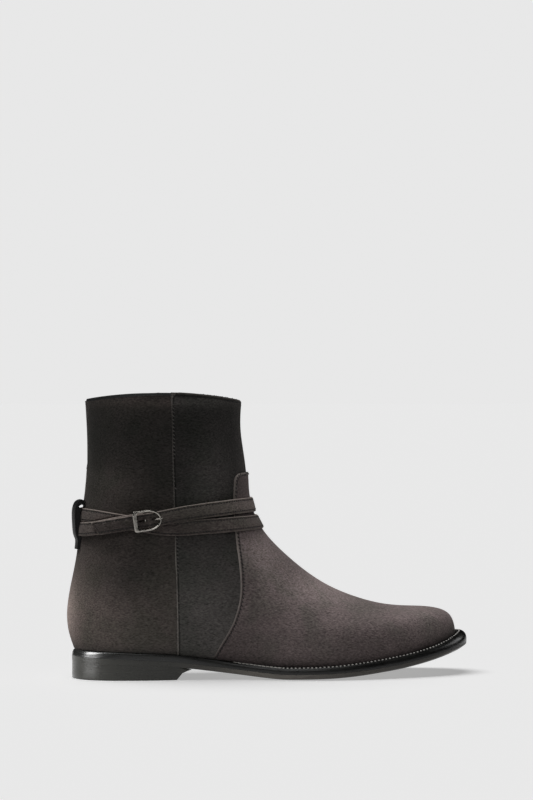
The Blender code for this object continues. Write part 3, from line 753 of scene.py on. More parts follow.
def lines_where(piece, wanted):
    """Lines along the edges of a piece that pass a test."""
    shape = bmesh.new()
    shape.from_mesh(piece.data)
    lines = walk_lines([edge for edge in shape.edges if wanted(edge)])
    shape.free()
    return lines


def sharp_lines(piece, sharp):
    """Lines along a piece's sharp edges."""
    limit = math.radians(sharp)
    return lines_where(piece, lambda edge: edge.is_manifold and edge.calc_face_angle() > limit)


def border_lines(piece, faces):
    """Lines round a set of a piece's faces, longest first."""
    chosen = set(faces)
    lines = lines_where(piece, lambda edge: sum(face.index in chosen for face in edge.link_faces) == 1)
    return sorted(lines, key=line_length, reverse=True)


def run_along(line):
    """Distance from a line's start to each of its points."""
    return np.concatenate(([0.0], np.cumsum(np.linalg.norm(np.diff(line, axis=0), axis=1))))


def line_length(line):
    return run_along(line)[-1]


# %% Zones and distances
LINE_STEP = 0.3 * MM


def zones_of(piece, sharp):
    """A zone's number for each face."""
    shape = bmesh.new()
    shape.from_mesh(piece.data)
    shape.faces.ensure_lookup_table()
    zone = np.full(len(shape.faces), -1)
    count = 0
    for seed in shape.faces:
        if zone[seed.index] >= 0:
            continue
        zone[seed.index] = count
        waiting = [seed]
        while waiting:
            for edge in waiting.pop().edges:
                if edge.calc_face_angle(math.pi) > math.radians(sharp):
                    continue
                for face in edge.link_faces:
                    if zone[face.index] < 0:
                        zone[face.index] = count
                        waiting.append(face)
        count += 1
    shape.free()
    return zone


def unit(vectors):
    return vectors / np.linalg.norm(vectors, axis=-1, keepdims=True)


def along(line, pitch):
    """Points at an even pitch along a line, and the line's direction there."""
    run = run_along(line)
    count = max(2, round(run[-1] / pitch) + 1)
    at = np.linspace(0.0, run[-1], count)
    points = np.column_stack([np.interp(at, run, line[:, axis]) for axis in range(3)])
    return points, unit(np.gradient(points, axis=0))


def search_tree(points):
    """Tree that finds the nearest of some points."""
    tree = KDTree(len(points))
    for index, point in enumerate(points):
        tree.insert(point, index)
    tree.balance()
    return tree


def distance_to(points, *lines):
    """Distance from each point to the nearest of some lines, which are first divided finely."""
    tree = search_tree(np.vstack([along(line, LINE_STEP)[0] for line in lines]))
    return np.array([tree.find(point)[2] for point in points])


# %% [markdown]
# ## Creases
#
# New suede still gives a little where the strap holds it and where the ankle bends. Noise would put folds
# anywhere, so these creases are placed one by one in the side view: each is a soft ridge or trough with a
# middle, a slope, a length and a width.

# %% Creases
CREASE_COLUMNS = ("side", "x", "z", "slope", "half_length", "half_width", "rise")
CREASE_ROWS = (
    (-1, -112.0, 126.0, -24.0, 17.0, 6.0, 0.8),
    (-1, -108.0, 137.0, -20.0, 22.0, 8.0, -0.7),
    (-1, -36.0, 138.0, -52.0, 26.0, 9.0, 0.8),
    (-1, -52.0, 146.0, -60.0, 30.0, 9.0, -0.7),
    (-1, -88.0, 84.0, -12.0, 26.0, 8.0, -0.8),
    (-1, -100.0, 72.0, -10.0, 20.0, 8.0, 0.5),
    (-1, -42.0, 84.0, 18.0, 18.0, 7.0, -0.6),
    (1, -108.0, 130.0, -22.0, 20.0, 7.0, -0.8),
    (1, -40.0, 140.0, -50.0, 24.0, 8.0, 0.7),
    (1, -84.0, 84.0, -8.0, 26.0, 8.0, -0.7),
)


def crease(piece):
    """Presses the creases into a piece's surface."""
    points = points_of(piece)
    normals = normals_of(piece)
    rise = np.zeros(len(points))
    for row in CREASE_ROWS:
        fold = dict(zip(CREASE_COLUMNS, row))
        turn = math.radians(fold["slope"])
        x = points[:, 0] / MM - fold["x"]
        z = points[:, 2] / MM - fold["z"]
        run = (x * math.cos(turn) + z * math.sin(turn)) / fold["half_length"]
        across = (z * math.cos(turn) - x * math.sin(turn)) / fold["half_width"]
        near = np.exp(-run**2 - across**2)
        rise += np.where(points[:, 1] * fold["side"] > 0, near, 0.0) * fold["rise"]
    facing_out = np.sign(normals[:, 1] * points[:, 1])
    move_points(piece, points + normals * (rise * facing_out)[:, None] * MM)


print("creases:", len(CREASE_ROWS))

# %% [markdown]
# ## Nap and painted light
#
# Suede looks lighter or darker by the way its nap lies. Light and shade are painted into it as well: it is
# lighter low down, as painted bounce light from the paper, partly nap; lighter at the heel's back, as
# painted rim light; lighter on the vamp's top, on two creases and along the collar, as painted light from
# above; and lighter or darker in the gaps by the strap, as painted fill light and painted shade. A texture
# for that would need an unwrapped piece and a picture. Like the creases, the patches are placed one by one
# instead, each with a middle, a reach and how much lighter it is, in the attribute named
# nap_and_painted_light. Along its foot, where the sole shades it, the suede is darker: painted shade.

# %% Patches of nap and painted light
NAP_AND_LIGHT_COLUMNS = ("x", "z", "reach_x", "reach_z", "lighter")
UPPER_NAP_AND_LIGHT_ROWS = (
    # At the heel's back and along its edge: painted rim light from behind, partly nap.
    (-132.0, 45.0, 40.0, 40.0, 0.90),
    (-140.0, 47.0, 8.0, 28.0, 3.00),
    # Above the strap, on the ridges of two creases: painted light.
    (-43.0, 134.0, 14.0, 22.0, 1.05),
    (-107.0, 127.0, 20.0, 16.0, 0.60),
    (-50.0, 54.0, 18.0, 18.0, 0.30),
    (-126.0, 165.0, 10.0, 34.0, -0.25),
    (-26.0, 156.0, 10.0, 34.0, -0.20),
    # Along the collar's top edge: painted light from above.
    (-87.0, 181.0, 34.0, 9.0, 0.45),
    (-43.0, 182.0, 24.0, 4.0, 0.80),
    (-87.0, 182.5, 40.0, 2.2, 0.90),
    # In the shaded gap between the strap's turns: painted fill light.
    (-42.0, 107.5, 22.0, 2.5, 1.50),
    (-99.0, 67.0, 18.0, 16.0, -0.36),
)
VAMP_NAP_AND_LIGHT_ROWS = (
    (-28.0, 26.0, 26.0, 22.0, -0.38),
    (-24.0, 124.0, 14.0, 16.0, -0.33),
    # The lighter rows here, on the instep, the top of the vamp and the toe: painted light from above, partly
    # nap.
    (-11.0, 80.0, 14.0, 14.0, 0.65),
    (-18.0, 67.0, 8.0, 14.0, -0.28),
    (32.0, 59.0, 32.0, 12.0, 0.65),
    (103.0, 43.0, 20.0, 14.0, 0.25),
    (62.0, 23.0, 30.0, 10.0, -0.22),
    # In the gap between the strap and the tab: painted shade.
    (-12.0, 109.0, 14.0, 2.5, -0.85),
)
STRAP_NAP_AND_LIGHT_ROWS = (
    (-65.0, 100.0, 22.0, 7.0, -0.40),
    (-20.0, 114.0, 22.0, 8.0, 0.35),
    (-45.0, 115.0, 24.0, 5.0, 0.22),
)
# Lighter low down: painted bounce light from the paper, partly the nap.
LOW_FROM = 150.0
LOW_RUN = 110.0
LOW_BOUNCE_AND_NAP = 0.95
# Darker along the foot, where the sole shades it: painted shade.
FOOT_SHADE_COLUMNS = ("darker", "reach")
UPPER_FOOT_SHADE_ROWS = ((0.55, 4.0),)
VAMP_FOOT_SHADE_ROWS = ((0.62, 4.0), (0.58, 9.5))


def patched(points, rows):
    """How much lighter the patches make each point, as a factor."""
    x, _, z = points.T / MM
    factor = np.ones(len(points))
    for row in rows:
        patch = dict(zip(NAP_AND_LIGHT_COLUMNS, row))
        run = (x - patch["x"]) / patch["reach_x"]
        rise = (z - patch["z"]) / patch["reach_z"]
        factor *= 1.0 + patch["lighter"] * np.exp(-(run**2) - rise**2)
    return factor


def paint_nap_and_light(piece, rows, foot, foot_shade_rows, low_bounce_and_nap=0.0):
    """Keeps how much lighter each point is, by its nap and painted light; along its foot, painted shade."""
    points = points_of(piece)
    low = np.clip((LOW_FROM - points[:, 2] / MM) / LOW_RUN, 0.0, 1.0)
    factor = patched(points, rows) * (1.0 + low_bounce_and_nap * low**2 * (3.0 - 2.0 * low))
    above_foot = distance_to(points, *foot) / MM
    for row in foot_shade_rows:
        foot_shade = dict(zip(FOOT_SHADE_COLUMNS, row))
        factor *= 1.0 - foot_shade["darker"] * np.exp(-above_foot / foot_shade["reach"])
    store(piece, "nap_and_painted_light", factor - 1.0)


print("patches:", len(UPPER_NAP_AND_LIGHT_ROWS) + len(VAMP_NAP_AND_LIGHT_ROWS) + len(STRAP_NAP_AND_LIGHT_ROWS))

# %% [markdown]
# ## Upper
#
# The upper is a back panel and a front panel, lapped at the sides with the front one on top, and lined.
# Its solid is one shell with a real wall, so panels, lining and raw edges are zones of one copy, and the
# lap is the step between two of them. At the collar the black lining stands a little above the suede, so
# the outer half of the rim is lowered.

# %% Zones of the upper
SHARP = 50.0
RIM_FACES_UP = 0.7
RIM_ABOVE = 150.0 * MM

upper = copy_of("upper", "upper_panels")
soften(upper, SHARP, levels=2)
zone = zones_of(upper, SHARP)
area, centre, normal = face_values(upper)
zone_area = np.bincount(zone, weights=area)
zone_x, zone_z, zone_up = (
    np.bincount(zone, weights=values) / np.bincount(zone)
    for values in (centre[:, 0], centre[:, 2], normal[:, 2])
)
rim = np.flatnonzero((zone_up > RIM_FACES_UP) & (zone_z > RIM_ABOVE))
inside, *panels = zone_area.argsort()[::-1][:3]
back, front = sorted(panels, key=lambda number: zone_x[number])
print("zones", len(zone_area), "inside", inside, "rim", rim, "front", front, "back", back)

# %% Seams and rim of the upper
SIDE_SEAM_TALL = 100.0 * MM
COLLAR_ABOVE = 170.0 * MM
COLLAR_DROP = 1.5 * MM
COLLAR_LIFT = 0.5 * MM
COLLAR_EASE = 6.0 * MM
RIM_EDGE = 0.1
RAW_SHARE = 0.4

seam_lines = sharp_lines(upper, SHARP)
tall_lines = [line for line in seam_lines if np.ptp(line[:, 2]) > SIDE_SEAM_TALL]
lips = []
for side in (-1, 1):
    both_edges = [line for line in tall_lines if line[:, 1].mean() * side > 0]
    lips.append(max(both_edges, key=lambda line: abs(line[:, 1].mean())))
high_lines = [line for line in seam_lines if line[:, 2].min() > COLLAR_ABOVE]
rim_inside = max(high_lines, key=lambda line: np.allclose(line[0], line[-1]))
rim_outside = [line for line in high_lines if line is not rim_inside]

points = points_of(upper)
rim_faces = np.flatnonzero(np.isin(zone, rim))
rim_points = verts_of(upper, rim_faces)
front_points = verts_of(upper, np.flatnonzero(zone == front))
outer_gap = distance_to(points[rim_points], *rim_outside)
inner_gap = distance_to(points[rim_points], rim_inside)
share = outer_gap / (outer_gap + inner_gap)
seam_x = np.mean([line[line[:, 2].argmax(), 0] for line in lips])
eased = np.clip((points[rim_points, 0] - seam_x) / COLLAR_EASE, 0.0, 1.0)
lifted = np.where(share < RIM_EDGE, np.isin(rim_points, front_points), eased)
new_points = points.copy()
new_points[rim_points, 2] += COLLAR_LIFT * lifted - COLLAR_DROP * (share < RAW_SHARE) * (1.0 - lifted)
move_points(upper, new_points)
print("side seams", [round(line_length(lip) / MM) for lip in lips], "mm")


# %% Finishes of the upper
def round_front(piece, depth, run, tall):
    """Lowers the top of a piece at the middle of its front, so that its edge is rounded there."""
    points = points_of(piece)
    top = points[:, 2].max()
    high = np.clip((points[:, 2] - top + tall) / (0.5 * tall), 0.0, 1.0)
    front_x = points[high > 0.0, 0].max()
    near = np.clip((points[:, 0] - front_x + run) / run, 0.0, 1.0)
    points[:, 2] -= depth * near**2 * high
    move_points(piece, points)


UPPER_FINISHES = (back_suede, front_suede, lining, raw_edge)
BACK, FRONT, LINED, RAW = range(4)
look = np.full(len(zone), RAW)
look[zone == back] = BACK
look[zone == front] = FRONT
look[(zone == inside) | np.isin(zone, rim)] = LINED
raw_rim = set(rim_points[share < RAW_SHARE])
for face in rim_faces:
    if raw_rim.issuperset(upper.data.polygons[face].vertices):
        look[face] = RAW
dress(upper, UPPER_FINISHES, look)
crease(upper)
round_front(upper, depth=1.6 * MM, run=3.2 * MM, tall=16.0 * MM)
shade(upper)
print("upper finishes:", np.bincount(look), "faces")


# %% Cut edges and brushing of the upper
def follow(line, before, after):
    """A line on a piece, after the piece's points have moved."""
    return np.array([after[np.linalg.norm(before - point, axis=1).argmin()] for point in line])


COLLAR_FRINGE = 0.65
BACK_FRINGE = 0.8
FAR = 50.0
FOOT_BELOW = 60.0 * MM

new_points = points_of(upper)
rim_edges = [follow(line, points, new_points) for line in rim_outside]
cut = np.full(len(points), FAR)
cut[front_points] = distance_to(new_points[front_points], *lips) / MM
near_rim = np.flatnonzero(points[:, 2] > COLLAR_ABOVE)
rim_gap = COLLAR_FRINGE * distance_to(new_points[near_rim], *rim_edges) / MM
rim_gap[(rim_gap > BACK_FRINGE) & ~np.isin(near_rim, front_points)] = FAR
cut[near_rim] = np.minimum(cut[near_rim], rim_gap)
store(upper, "cut", cut)
upper_foot = [line for line in seam_lines if line[:, 2].max() < FOOT_BELOW]
paint_nap_and_light(upper, UPPER_NAP_AND_LIGHT_ROWS, upper_foot, UPPER_FOOT_SHADE_ROWS, LOW_BOUNCE_AND_NAP)
place_piece(upper, "upper_suede", "upper")

# %% [markdown]
# ## Vamp
#
# The vamp lies on the front panel and ends above the ankle in a rounded tab. Its back edge is cut raw, so
# the thin strip round it shows the pale inside of the hide. It could be a sheet with a Solidify modifier,
# but the solid has its thickness already: its copy is softened, and the underside is laid down on the
# upper.

# %% Lip and foot of the vamp
LIP_FOOT = (-41.0 * MM, 14.3 * MM)
LIP_SLOPE = 0.5


def part_of_loop(loop, keep):
    """The stretch of a closed line that is kept, in its order."""
    loop, keep = loop[:-1], keep[:-1]
    first = np.flatnonzero(keep & ~np.roll(keep, 1))[0]
    return np.roll(loop, -first, axis=0)[np.roll(keep, -first)]


vamp = copy_of("vamp", "vamp_panel")
soften(vamp, SHARP, levels=2)
vamp_zone = zones_of(vamp, SHARP)
vamp_areas = np.bincount(vamp_zone, weights=face_values(vamp)[0])
vamp_outside, vamp_inside = vamp_areas.argsort()[::-1][:2]
vamp_border = border_lines(vamp, np.flatnonzero(vamp_zone == vamp_outside))[0]
above = vamp_border[:, 2] - LIP_FOOT[1] > LIP_SLOPE * (vamp_border[:, 0] - LIP_FOOT[0])
vamp_lip = part_of_loop(vamp_border, above)
vamp_foot = part_of_loop(vamp_border, ~above)
print("vamp lip", round(line_length(vamp_lip) / MM), "mm")

# %% Finish of the vamp
store(vamp, "cut", distance_to(points_of(vamp), vamp_lip) / MM)
dress(vamp, (vamp_suede, raw_vamp), np.where(vamp_zone == vamp_outside, 0, 1))
crease(vamp)
points = points_of(vamp)
for vert in verts_of(vamp, np.flatnonzero(vamp_zone == vamp_inside)):
    points[vert] = upper.closest_point_on_mesh(points[vert])[1]
move_points(vamp, points)
round_front(vamp, depth=1.6 * MM, run=4.0 * MM, tall=6.0 * MM)
shade(vamp)
paint_nap_and_light(vamp, VAMP_NAP_AND_LIGHT_ROWS, [vamp_foot], VAMP_FOOT_SHADE_ROWS)
place_piece(vamp, "vamp_suede", "vamp")

# %% [markdown]
# ## Stitches
#
# A painted seam would be flat in a close view, so each stitch is real. One is modelled from a ball:
# stretched along the seam and flattened. It is then copied along the seam, every copy with its own faces,
# turned to lie on the surface there and sunk a little.


# %% Modelling and sewing stitches
def model_stitch(length, width, height):
    """Points and faces of one stitch, which lies along X."""
    bpy.ops.object.select_all(action="DESELECT")
    bpy.ops.mesh.primitive_uv_sphere_add(segments=8, ring_count=5, radius=0.5)
    ball = bpy.context.object
    bpy.ops.object.mode_set(mode="EDIT")
    bpy.ops.mesh.select_all(action="SELECT")
    bpy.ops.transform.rotate(value=math.radians(90.0), orient_axis="Y", center_override=(0.0, 0.0, 0.0))
    bpy.ops.transform.resize(value=(length, width, height), center_override=(0.0, 0.0, 0.0))
    bpy.ops.object.mode_set(mode="OBJECT")
    points = points_of(ball)
    faces = [list(face.vertices) for face in ball.data.polygons]
    bpy.data.objects.remove(ball, do_unlink=True)
    return points, faces


def seam_places(piece, line, pitch, inset=0.0, towards=(0.0, 0.0, 0.0)):
    """Places of stitches on a piece, on a line or beside it, on the side of a given point."""
    places = []
    points, headings = along(line, pitch)
    for point, heading in zip(points, headings):
        normal = piece.closest_point_on_mesh(point)[2]
        sideways = normal.cross(Vector(heading)).normalized()
        if sideways.dot(Vector(towards) - Vector(point)) < 0.0:
            sideways.negate()
        _, spot, normal, _ = piece.closest_point_on_mesh(Vector(point) + sideways * inset)
        places.append((spot, Vector(heading), normal))
    return places


def sew(name, stitch, places, finish, slot, slant=0.0, sunk=0.0):
    """One piece with a stitch at each place."""
    points, faces = stitch
    all_points = []
    all_faces = []
    for spot, heading, normal in places:
        side = normal.cross(heading).normalized()
        ahead = side.cross(normal)
        turned = ahead * math.cos(slant) + side * math.sin(slant)
        axes = np.array((turned, normal.cross(turned), normal))
        first = len(all_points) * len(points)
        all_points.append(points @ axes + np.array(spot - normal * sunk))
        all_faces += [[first + vert for vert in face] for face in faces]
    mesh = bpy.data.meshes.new(name)
    mesh.from_pydata(np.vstack(all_points), [], all_faces)
    mesh.materials.append(finish)
    piece = new_piece(name, mesh)
    shade(piece, 180.0)
    place_piece(piece, slot)


# %% Side, vamp and collar seams
SEAM_PITCH = 2.5 * MM
FINE_PITCH = 1.7 * MM
SEAM_STITCH = model_stitch(1.9 * MM, 0.85 * MM, 0.75 * MM)
FINE_STITCH = model_stitch(1.35 * MM, 0.48 * MM, 0.46 * MM)
SEAM_SUNK = 0.05 * MM
COLLAR_SUNK = 0.08 * MM
SLANT = math.radians(48.0)
VAMP_MIDDLE = (0.02, 0.0, 0.06)
TOE_WARD = (1.0, 0.0, 0.1)
FLOOR_WARD = (0.0, 0.0, -9.0)
COLLAR_SEWN = 2.0 * MM
SHORT_LINE = 20.0 * MM

side_places = []
for lip in lips:
    side_places += seam_places(upper, lip, SEAM_PITCH, SIDE_SEWN * MM, TOE_WARD)
sew("side_seam_stitches", SEAM_STITCH, side_places, side_thread_and_highlight, "upper_suede", SLANT, SEAM_SUNK)
vamp_places = seam_places(vamp, vamp_lip, SEAM_PITCH, VAMP_SEWN * MM, VAMP_MIDDLE)
sew("vamp_stitches", SEAM_STITCH, vamp_places, dark_thread, "vamp_suede", SLANT, SEAM_SUNK)
collar_places = []
for line in rim_edges:
    if line_length(line) > SHORT_LINE:
        collar_places += seam_places(upper, line, FINE_PITCH, COLLAR_SEWN, FLOOR_WARD)
sew("collar_stitches", FINE_STITCH, collar_places, dark_thread, "upper_suede", sunk=COLLAR_SUNK)

# %% [markdown]
# ## Strap
#
# The strap is one strip that goes twice round the ankle. Its solid has sharp corners, and a Subdivision
# Surface would melt them, so a fuller section is lofted along it: crowned outside, flat inside, with its
# cut sides turned a little out. The solid's eight lengthwise edges give the strap's middle, width and
# thickness at every station.

# %% Stations along the strap
CHAIN_SHARP = 25.0
CHAIN_LONG = 300.0 * MM
SHADED_BELOW = 106.0
LOW_TURN_LIFT = 0.4 * MM
LOW_TURN_X = -46.0
LOW_TURN_REACH = 16.0

strap_core = copy_of("wrap_strap", "strap_core")
chains = [line for line in sharp_lines(strap_core, CHAIN_SHARP) if line_length(line) > CHAIN_LONG]
strap_start = chains[0][0]
for index, line in enumerate(chains):
    if np.linalg.norm(line[0] - strap_start) > np.linalg.norm(line[-1] - strap_start):
        chains[index] = line[::-1]
edges = np.array(chains)
middle = edges.mean(axis=0)
arms = edges - middle
half_way = len(middle) // 2
long_axis, short_axis = np.linalg.svd(arms[:, half_way])[2][:2]
if long_axis[2] < 0.0:
    long_axis = -long_axis
is_low_turn = (middle[:, 1] < 0.0) & (middle[:, 2] < SHADED_BELOW * MM)
drawn_up = LOW_TURN_LIFT * np.exp(-(((middle[:, 0] / MM - LOW_TURN_X) / LOW_TURN_REACH) ** 2))
middle[:, 2] += np.where(is_low_turn, drawn_up, 0.0)
ankle = points_of(strap_core).mean(axis=0)
if short_axis @ (middle[half_way] - ankle) < 0.0:
    short_axis = -short_axis
weights = np.column_stack((arms[:, half_way] @ long_axis, arms[:, half_way] @ short_axis))
weights /= np.abs(weights).max(axis=0)
across, out = np.einsum("pc,csk->psk", np.linalg.pinv(weights), arms)
half_width = np.linalg.norm(across, axis=1).mean()
print("strap width", round(2 * half_width / MM, 2), "mm, stations", len(middle))

# %% Loft of the strap
SECTION_HALF = (
    (0.25, 1.08),
    (0.60, 0.95),
    (0.82, 0.92),
    (0.95, 0.70),
    (1.00, 0.25),
    (1.00, -0.60),
    (0.94, -0.96),
    (0.40, -1.00),
)
FRONT_FROM = -110.0
FRONT_RUN = 50.0
FRONT_WIDER = 0.09
MIRRORED = (-1.0, 1.0)


def loft(name, rings):
    """Closed skin over rings of points, with a face at each end."""
    stations, count = rings.shape[:2]
    faces = []
    for station in range(stations - 1):
        for index in range(count):
            after = (index + 1) % count
            low, high = station * count, (station + 1) * count
            faces.append((low + index, low + after, high + after, high + index))
    faces.append(tuple(range(count)))
    faces.append(tuple(range((stations - 1) * count, stations * count)))
    mesh = bpy.data.meshes.new(name)
    mesh.from_pydata(rings.reshape(-1, 3), [], faces)
    piece = new_piece(name, mesh)
    bpy.ops.object.mode_set(mode="EDIT")
    bpy.ops.mesh.select_all(action="SELECT")
    bpy.ops.mesh.normals_make_consistent(inside=False)
    bpy.ops.object.mode_set(mode="OBJECT")
    return piece


half = np.array(SECTION_HALF)
section = np.vstack((half, half[::-1] * MIRRORED))
front_share = np.clip((middle[:, 0] / MM - FRONT_FROM) / FRONT_RUN, 0.0, 1.0)
across *= 1.0 + FRONT_WIDER * front_share[:, None]
rings = middle[:, None] + section[None, :, :1] * across[:, None] + section[None, :, 1:] * out[:, None]
strap = loft("wrap_strap_suede", rings)
soften(strap, 70.0, levels=2, crease=0.9)
print("strap length", round(line_length(middle) / MM), "mm")

# %% Holes of the strap
HOLE_OFF = 0.2 * MM
HOLES_APART = 6.0 * MM
HOLE_REACH = 0.15 * MM
HOLE_SIDES = 28
stations = search_tree(middle)


def station_at(points):
    """Number of the strap's nearest station for each point."""
    return np.array([stations.find(point)[1] for point in points])


loose = points_of(strap_core)
bpy.data.objects.remove(strap_core, do_unlink=True)
hole_points = loose[distance_to(loose, *chains) > HOLE_OFF]
first_hole = np.linalg.norm(hole_points - hole_points[0], axis=1) < HOLES_APART
for group in (hole_points[first_hole], hole_points[~first_hole]):
    spot = group.mean(axis=0)
    at = station_at([spot])[0]
    outward = unit(out[at])
    sideways = unit(across[at] - outward * (across[at] @ outward))
    axes = np.array((np.cross(sideways, outward), sideways, outward))
    size = np.ptp((group - spot) @ axes.T, axis=0)
    size[2] += 2.0 * HOLE_REACH
    bpy.ops.object.select_all(action="DESELECT")
    bpy.ops.mesh.primitive_cylinder_add(vertices=HOLE_SIDES, radius=0.5, depth=1.0)
    punch = bpy.context.object
    move_points(punch, (points_of(punch) * size) @ axes + spot)
    apply(strap, "BOOLEAN", object=punch, operation="DIFFERENCE", solver="EXACT")
    bpy.data.objects.remove(punch, do_unlink=True)
    print("hole", (size / MM).round(2), "mm")

# %% Finish of the strap
EDGE_OUT = 0.3
# Painted shade on the strap's lower edges and where the upper turn shades the lower one: the pale edge fades.
PAINTED_EDGE_SHADE = 0.8
TIP_PALE = 9.0 * MM
SHADED_FROM = -85.0
SHADED_TO = -18.0
TIP_DARKER = 0.45
TIP_END = 44.0 * MM
TIP_FADE = 14.0 * MM
SIDE_FACING = 0.45

points = points_of(strap)
upper_edge = middle + across + EDGE_OUT * out
lower_edge = middle - across + EDGE_OUT * out
tip_edge = np.array((upper_edge[0], lower_edge[0]))
store(strap, "cut", distance_to(points, upper_edge, lower_edge, tip_edge) / MM)
from_tip = run_along(middle)[station_at(points)]
tip_shade = 1.0 - TIP_DARKER * np.clip((TIP_END - from_tip) / TIP_FADE, 0.0, 1.0)
# The strap's patches of nap and painted light, with its free end darker towards the tip.
store(strap, "nap_and_painted_light", tip_shade * patched(points, STRAP_NAP_AND_LIGHT_ROWS) - 1.0)
is_low_edge = distance_to(points, lower_edge) < distance_to(points, upper_edge)
x, _, z = points.T / MM
is_shaded = (z < SHADED_BELOW) & (x > SHADED_FROM) & (x < SHADED_TO)
painted_edge_shade = PAINTED_EDGE_SHADE * ((is_low_edge | is_shaded) & (from_tip > TIP_PALE))
store(strap, "painted_edge_shade", painted_edge_shade)
centre, normal = face_values(strap)[1:]
facing = np.abs(np.einsum("fk,fk->f", normal, unit(out)[station_at(centre)]))
# Cut sides that no painted shade covers get the pale raw finish; the shaded ones keep the suede.
is_pale = np.array([painted_edge_shade[list(face.vertices)].max() == 0.0 for face in strap.data.polygons])
dress(strap, (strap_suede, raw_strap), np.where((facing < SIDE_FACING) & is_pale, 1, 0))
shade(strap, 60.0)
place_piece(strap, "strap_suede", "wrap_strap")

# %% Edge stitches of the strap
STRAP_PITCH = 2.1 * MM
STRAP_STITCH = model_stitch(1.5 * MM, 0.65 * MM, 0.55 * MM)
STRAP_ROW_OUT = 0.9

inset = 1.0 - STRAP_SEWN * MM / half_width
strap_places = []
for side in (-1.0, 1.0):
    row = middle + side * inset * across + STRAP_ROW_OUT * out
    strap_places += seam_places(strap, row[1:-1], STRAP_PITCH)
sew("strap_stitches", STRAP_STITCH, strap_places, dark_thread, "strap_suede", sunk=SEAM_SUNK)

# %% [markdown]
# ## Buckle
#
# The buckle is a small casting, polished so that no edge is left sharp. A Bevel would round its edges
# evenly, as on a milled piece. A Subdivision Surface with a weak crease keeps the flat of the bar and
# softens the rest more freely, as polishing does.

# %% Buckle
BUCKLE_CREASES = {"buckle_frame": 0.35, "buckle_bar": 0.2, "buckle_prong": 0.2}

for node, weak_crease in BUCKLE_CREASES.items():
    part = copy_of(node, node + "_polished")
    soften(part, 40.0, levels=3, crease=weak_crease)
    part.data.materials.append(steel)
    shade(part, 80.0)
    place_piece(part, "buckle_metal", node)

# %% [markdown]
# ## Back loop
#
# The loop is a strip of smooth black leather, sewn to the shaft at both ends and bowed out over the
# strap. Its rim is creased so that only its folds are rounded, and a fine bevel then breaks the cut edge.
# Below its top, its underside is drawn forward until it meets the strap or the shaft, so that no light
# shows through.

# %% Back loop
LOOP_SEWN = 1.5 * MM
LOOP_SUNK = 0.12 * MM
LOOP_NEAR = 0.1 * MM
LOOP_FILL = 2.2 * MM
LOOP_FILL_TOP = 112.5 * MM
LOOP_UNDERSIDE = 0.3

loop = copy_of("back_loop", "back_loop_leather")
soften(loop, 75.0, levels=3)
loop_zone = zones_of(loop, 60.0)
points = points_of(loop)
ahead = Vector((1.0, 0.0, 0.0))
is_underside = (normals_of(loop)[:, 0] > LOOP_UNDERSIDE) & (points[:, 2] < LOOP_FILL_TOP)
for index in np.flatnonzero(is_underside):
    for under in (strap, upper):
        hit, found, _, _ = under.ray_cast(Vector(points[index]), ahead, distance=2.0 * LOOP_FILL)
        if hit:
            points[index, 0] += min(LOOP_FILL, max(0.0, found.x - points[index, 0] - LOOP_NEAR))
            break
    else:
        points[index, 0] += LOOP_FILL
move_points(loop, points)
centre = face_values(loop)[1]
loop_outside = np.bincount(loop_zone, weights=centre[:, 0]).argmin()
loop_border = border_lines(loop, np.flatnonzero(loop_zone == loop_outside))[0]
break_edges(loop, 0.3 * MM, segments=3, sharp=40.0)
loop.data.materials.append(loop_leather)
shade(loop, 60.0)
place_piece(loop, "loop_leather", "back_loop")
loop_places = seam_places(loop, loop_border, STRAP_PITCH, LOOP_SEWN, loop_border.mean(axis=0))
sew("loop_stitches", STRAP_STITCH, loop_places, dark_thread, "loop_leather", sunk=LOOP_SUNK)

# %% [markdown]
# ## Sole and heel
#
# Welt, sole and heel are cut leather, trimmed together, stained, waxed and burnished, so their joints
# hardly show. The solids have an even bevel and a small gap. A Bevel modifier would be as even, so each
# layer's edge is cut anew from a table of places from heel to toe: the welt slopes at the forefoot, where
# its stitches lie, the sole is rounded underneath, the toe is drawn out and lifted a little, and round
# the heel all is flush. A ring of faces inside each rim then lets the Subdivision Surface round it
# evenly.

